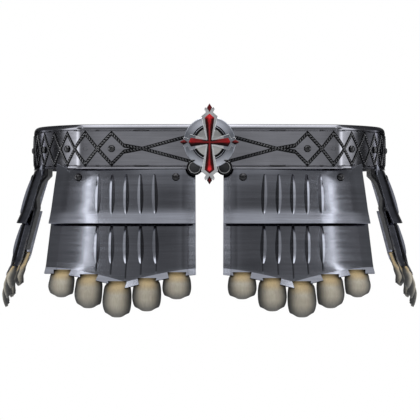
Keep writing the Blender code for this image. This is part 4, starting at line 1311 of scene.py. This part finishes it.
def add_lappet(kind, number, plan, finish):
    """A moulded lappet: a narrow root behind the lame, shoulders, a barrel-shaped body and a round end."""
    lappet = LAPPETS[number - 1]
    u, length, full = lappet["u"], lappet["length"], lappet["half"]
    edge = edge_height(kind, u)
    lip = lip_out(kind, u, edge)
    neck = NOTCH_TOP - LAPPET_SIDE_GAP
    rows = []
    shoulder = (LAPPET_SHOULDER_DROP, full - LAPPET_SHOULDER)
    for above, half in ((NOTCH_DEPTH + LAPPET_ROOT, neck), (NOTCH_DEPTH, neck), shoulder):
        z = edge + above
        out = lip_out(kind, u, z) - flange_sink(u) - LAME_WALL - LAPPET_GAP
        rows.append({"z": z, "half": half, "out": out, "belly": 0.0})
    for i, row in enumerate(LAPPET_ROWS):
        z, half = edge - row["share"] * length, full - row["narrower"]
        out = lip + row["out"] - LAPPET_SETBACK
        rows.append({"z": z, "half": half, "out": out, "belly": LAPPET_BELLY * min(1.0, (i + 1) / 2)})
    sheet = draw_sheet(f"{kind}_lappet_{number}_left", rows, [u + across for across in LAPPET_COLUMNS])
    lay_map(sheet, u, edge, length)
    with shaping(sheet):
        for row in rows:
            for across in LAPPET_COLUMNS:
                pick_point(u + across, row["z"])
                rise = {rows[-1]["z"]: LAPPET_ROUND * across**4, rows[-2]["z"]: across**4}.get(row["z"], 0.0)
                move(x=(row["half"] - 1) * across, y=row["belly"] * across**4, z=rise)
    tidy_normals(sheet, front=True)
    apply(sheet, "SUBSURF", levels=2, boundary_smooth="PRESERVE_CORNERS")
    apply(sheet, "SOLIDIFY", thickness=LAPPET_WALL * MM, offset=-1)
    turn = math.radians(50)
    apply(sheet, "BEVEL", width=LAPPET_EASE * MM, segments=3, limit_method="ANGLE", angle_limit=turn)
    shade(sheet, 60)
    bend(sheet, plan)
    dress_pair(sheet, finish, "pale_leather", f"lappet_{kind}_left_{number}")


def lay_map(sheet, u, edge, length):
    """Maps the sheet: across from -1 to 1 at its sides, down from 0 at the lame's edge to 1 at its end."""
    mesh = sheet.data
    layer = mesh.uv_layers.new(name="lappet_map")
    for loop in mesh.loops:
        place = mesh.vertices[loop.vertex_index].co / MM
        layer.data[loop.index].uv = (place.x - u, (edge - place.z) / length)


# The studio


def add_camera():
    camera = bpy.data.cameras.new("camera")
    camera.angle = 2 * math.atan(VIEW_HALF / VIEW_DISTANCE)
    camera.clip_end = 100
    eye = bpy.data.objects.new("camera", camera)
    eye.location = [value * MM for value in EYE]
    eye.rotation_euler = UPRIGHT
    bpy.context.scene.collection.objects.link(eye)
    bpy.context.scene.camera = eye


def add_world():
    """A white surround as seen. The metal mirrors a softer one, whose light changes round it and upwards."""
    world = bpy.data.worlds.new("studio")
    world.use_nodes = True
    graph = Graph(world.node_tree)
    x, y, high = graph.parts(graph.add("ShaderNodeTexCoord").outputs["Generated"])
    aside = graph.math("ABSOLUTE", x)
    ahead = graph.math("MULTIPLY", y, -1.0)
    around = graph.math("DIVIDE", graph.math("ARCTAN2", aside, ahead), math.pi)
    level, shoulder = graph.ramp(around, WORLD_LEVEL), graph.ramp(around, WORLD_SHOULDER)
    light = graph.blend(graph.ramp(high, RISE_TO_SHOULDER), level, shoulder)
    light = graph.blend(graph.ramp(high, RISE_TO_TOP), light, graph.ramp(high, WORLD_TOP))
    aslant = graph.math("ABSOLUTE", graph.math("SUBTRACT", around, graph.ramp(high, STRIP_LEAN)))
    strip = graph.math("MULTIPLY", graph.ramp(aslant, STRIP_ACROSS), graph.ramp(high, STRIP_ALONG))
    light = graph.math("MULTIPLY_ADD", strip, STRIP_LIGHT, light)
    tinted = graph.add("ShaderNodeVectorMath", STUDIO_TINT, operation="SCALE")
    graph.fill(tinted.inputs["Scale"], light)
    studio = graph.tree.nodes["Background"]
    graph.fill(studio.inputs["Color"], tinted.outputs[0])
    seen = graph.add("ShaderNodeBackground", (1, 1, 1), 1.0)
    camera_ray = graph.add("ShaderNodeLightPath").outputs["Is Camera Ray"]
    shown = graph.add("ShaderNodeMixShader", camera_ray, studio.outputs[0], seen.outputs[0])
    graph.fill(graph.tree.nodes["World Output"].inputs["Surface"], shown.outputs[0])
    bpy.context.scene.world = world


def add_softbox(name, azimuth, elevation, distance, size, radiance):
    """A rectangular lamp aimed at the middle of the piece. Its size is in metres, its angles in degrees."""
    lamp = bpy.data.lights.new(name, "AREA")
    lamp.shape = "RECTANGLE"
    lamp.size, lamp.size_y = size
    lamp.energy = radiance * math.pi * size[0] * size[1]
    a, e = math.radians(azimuth), math.radians(elevation)
    away = Vector((math.sin(a) * math.cos(e), -math.cos(a) * math.cos(e), math.sin(e)))
    softbox = bpy.data.objects.new(name, lamp)
    softbox.location = away * distance
    softbox.rotation_euler = away.to_track_quat("Z", "Y").to_euler()
    bpy.context.scene.collection.objects.link(softbox)


def add_floor():
    floor = primitive("circle", "floor", vertices=64, radius=FLOOR_RADIUS, fill_type="NGON")
    placed(floor, (0, 0, -FLOOR_DROP))
    pale = Recipe("pale_floor", roughness=0.8)
    pale.fill(pale.shader["Base Color"], pale.ramp(pale.noise(3.0), ((0.3, 0.72), (0.7, 0.78))))
    add_finishes(floor, pale.material)


def main():
    finishes = make_finishes()
    plan = add_plan("belt_plan", belt_walk(1200), 0.0)
    add_strip(plan, finishes["belt"])
    add_ropes(plan, finishes)
    add_studs(plan, finishes)
    add_clasp(finishes["belt"])
    discard(plan)
    add_disc(finishes)
    add_mount(finishes)
    add_stones(finishes)
    add_scrolls(finishes)
    for kind in TASSETS:
        plan = tasset_plan(kind)
        add_upper_lame(kind, plan, finishes)
        add_lower_lame(kind, plan, finishes)
        add_rivets(kind, plan, finishes)
        for number in range(1, len(LAPPETS) + 1):
            add_lappet(kind, number, plan, finishes["lappet"])
        add_hangers(kind, finishes["strap"])
        discard(plan)
    add_camera()
    add_world()
    for softbox in SOFTBOXES:
        add_softbox(**softbox)
    add_floor()
    bpy.context.scene.view_settings.view_transform = "Standard"


main()
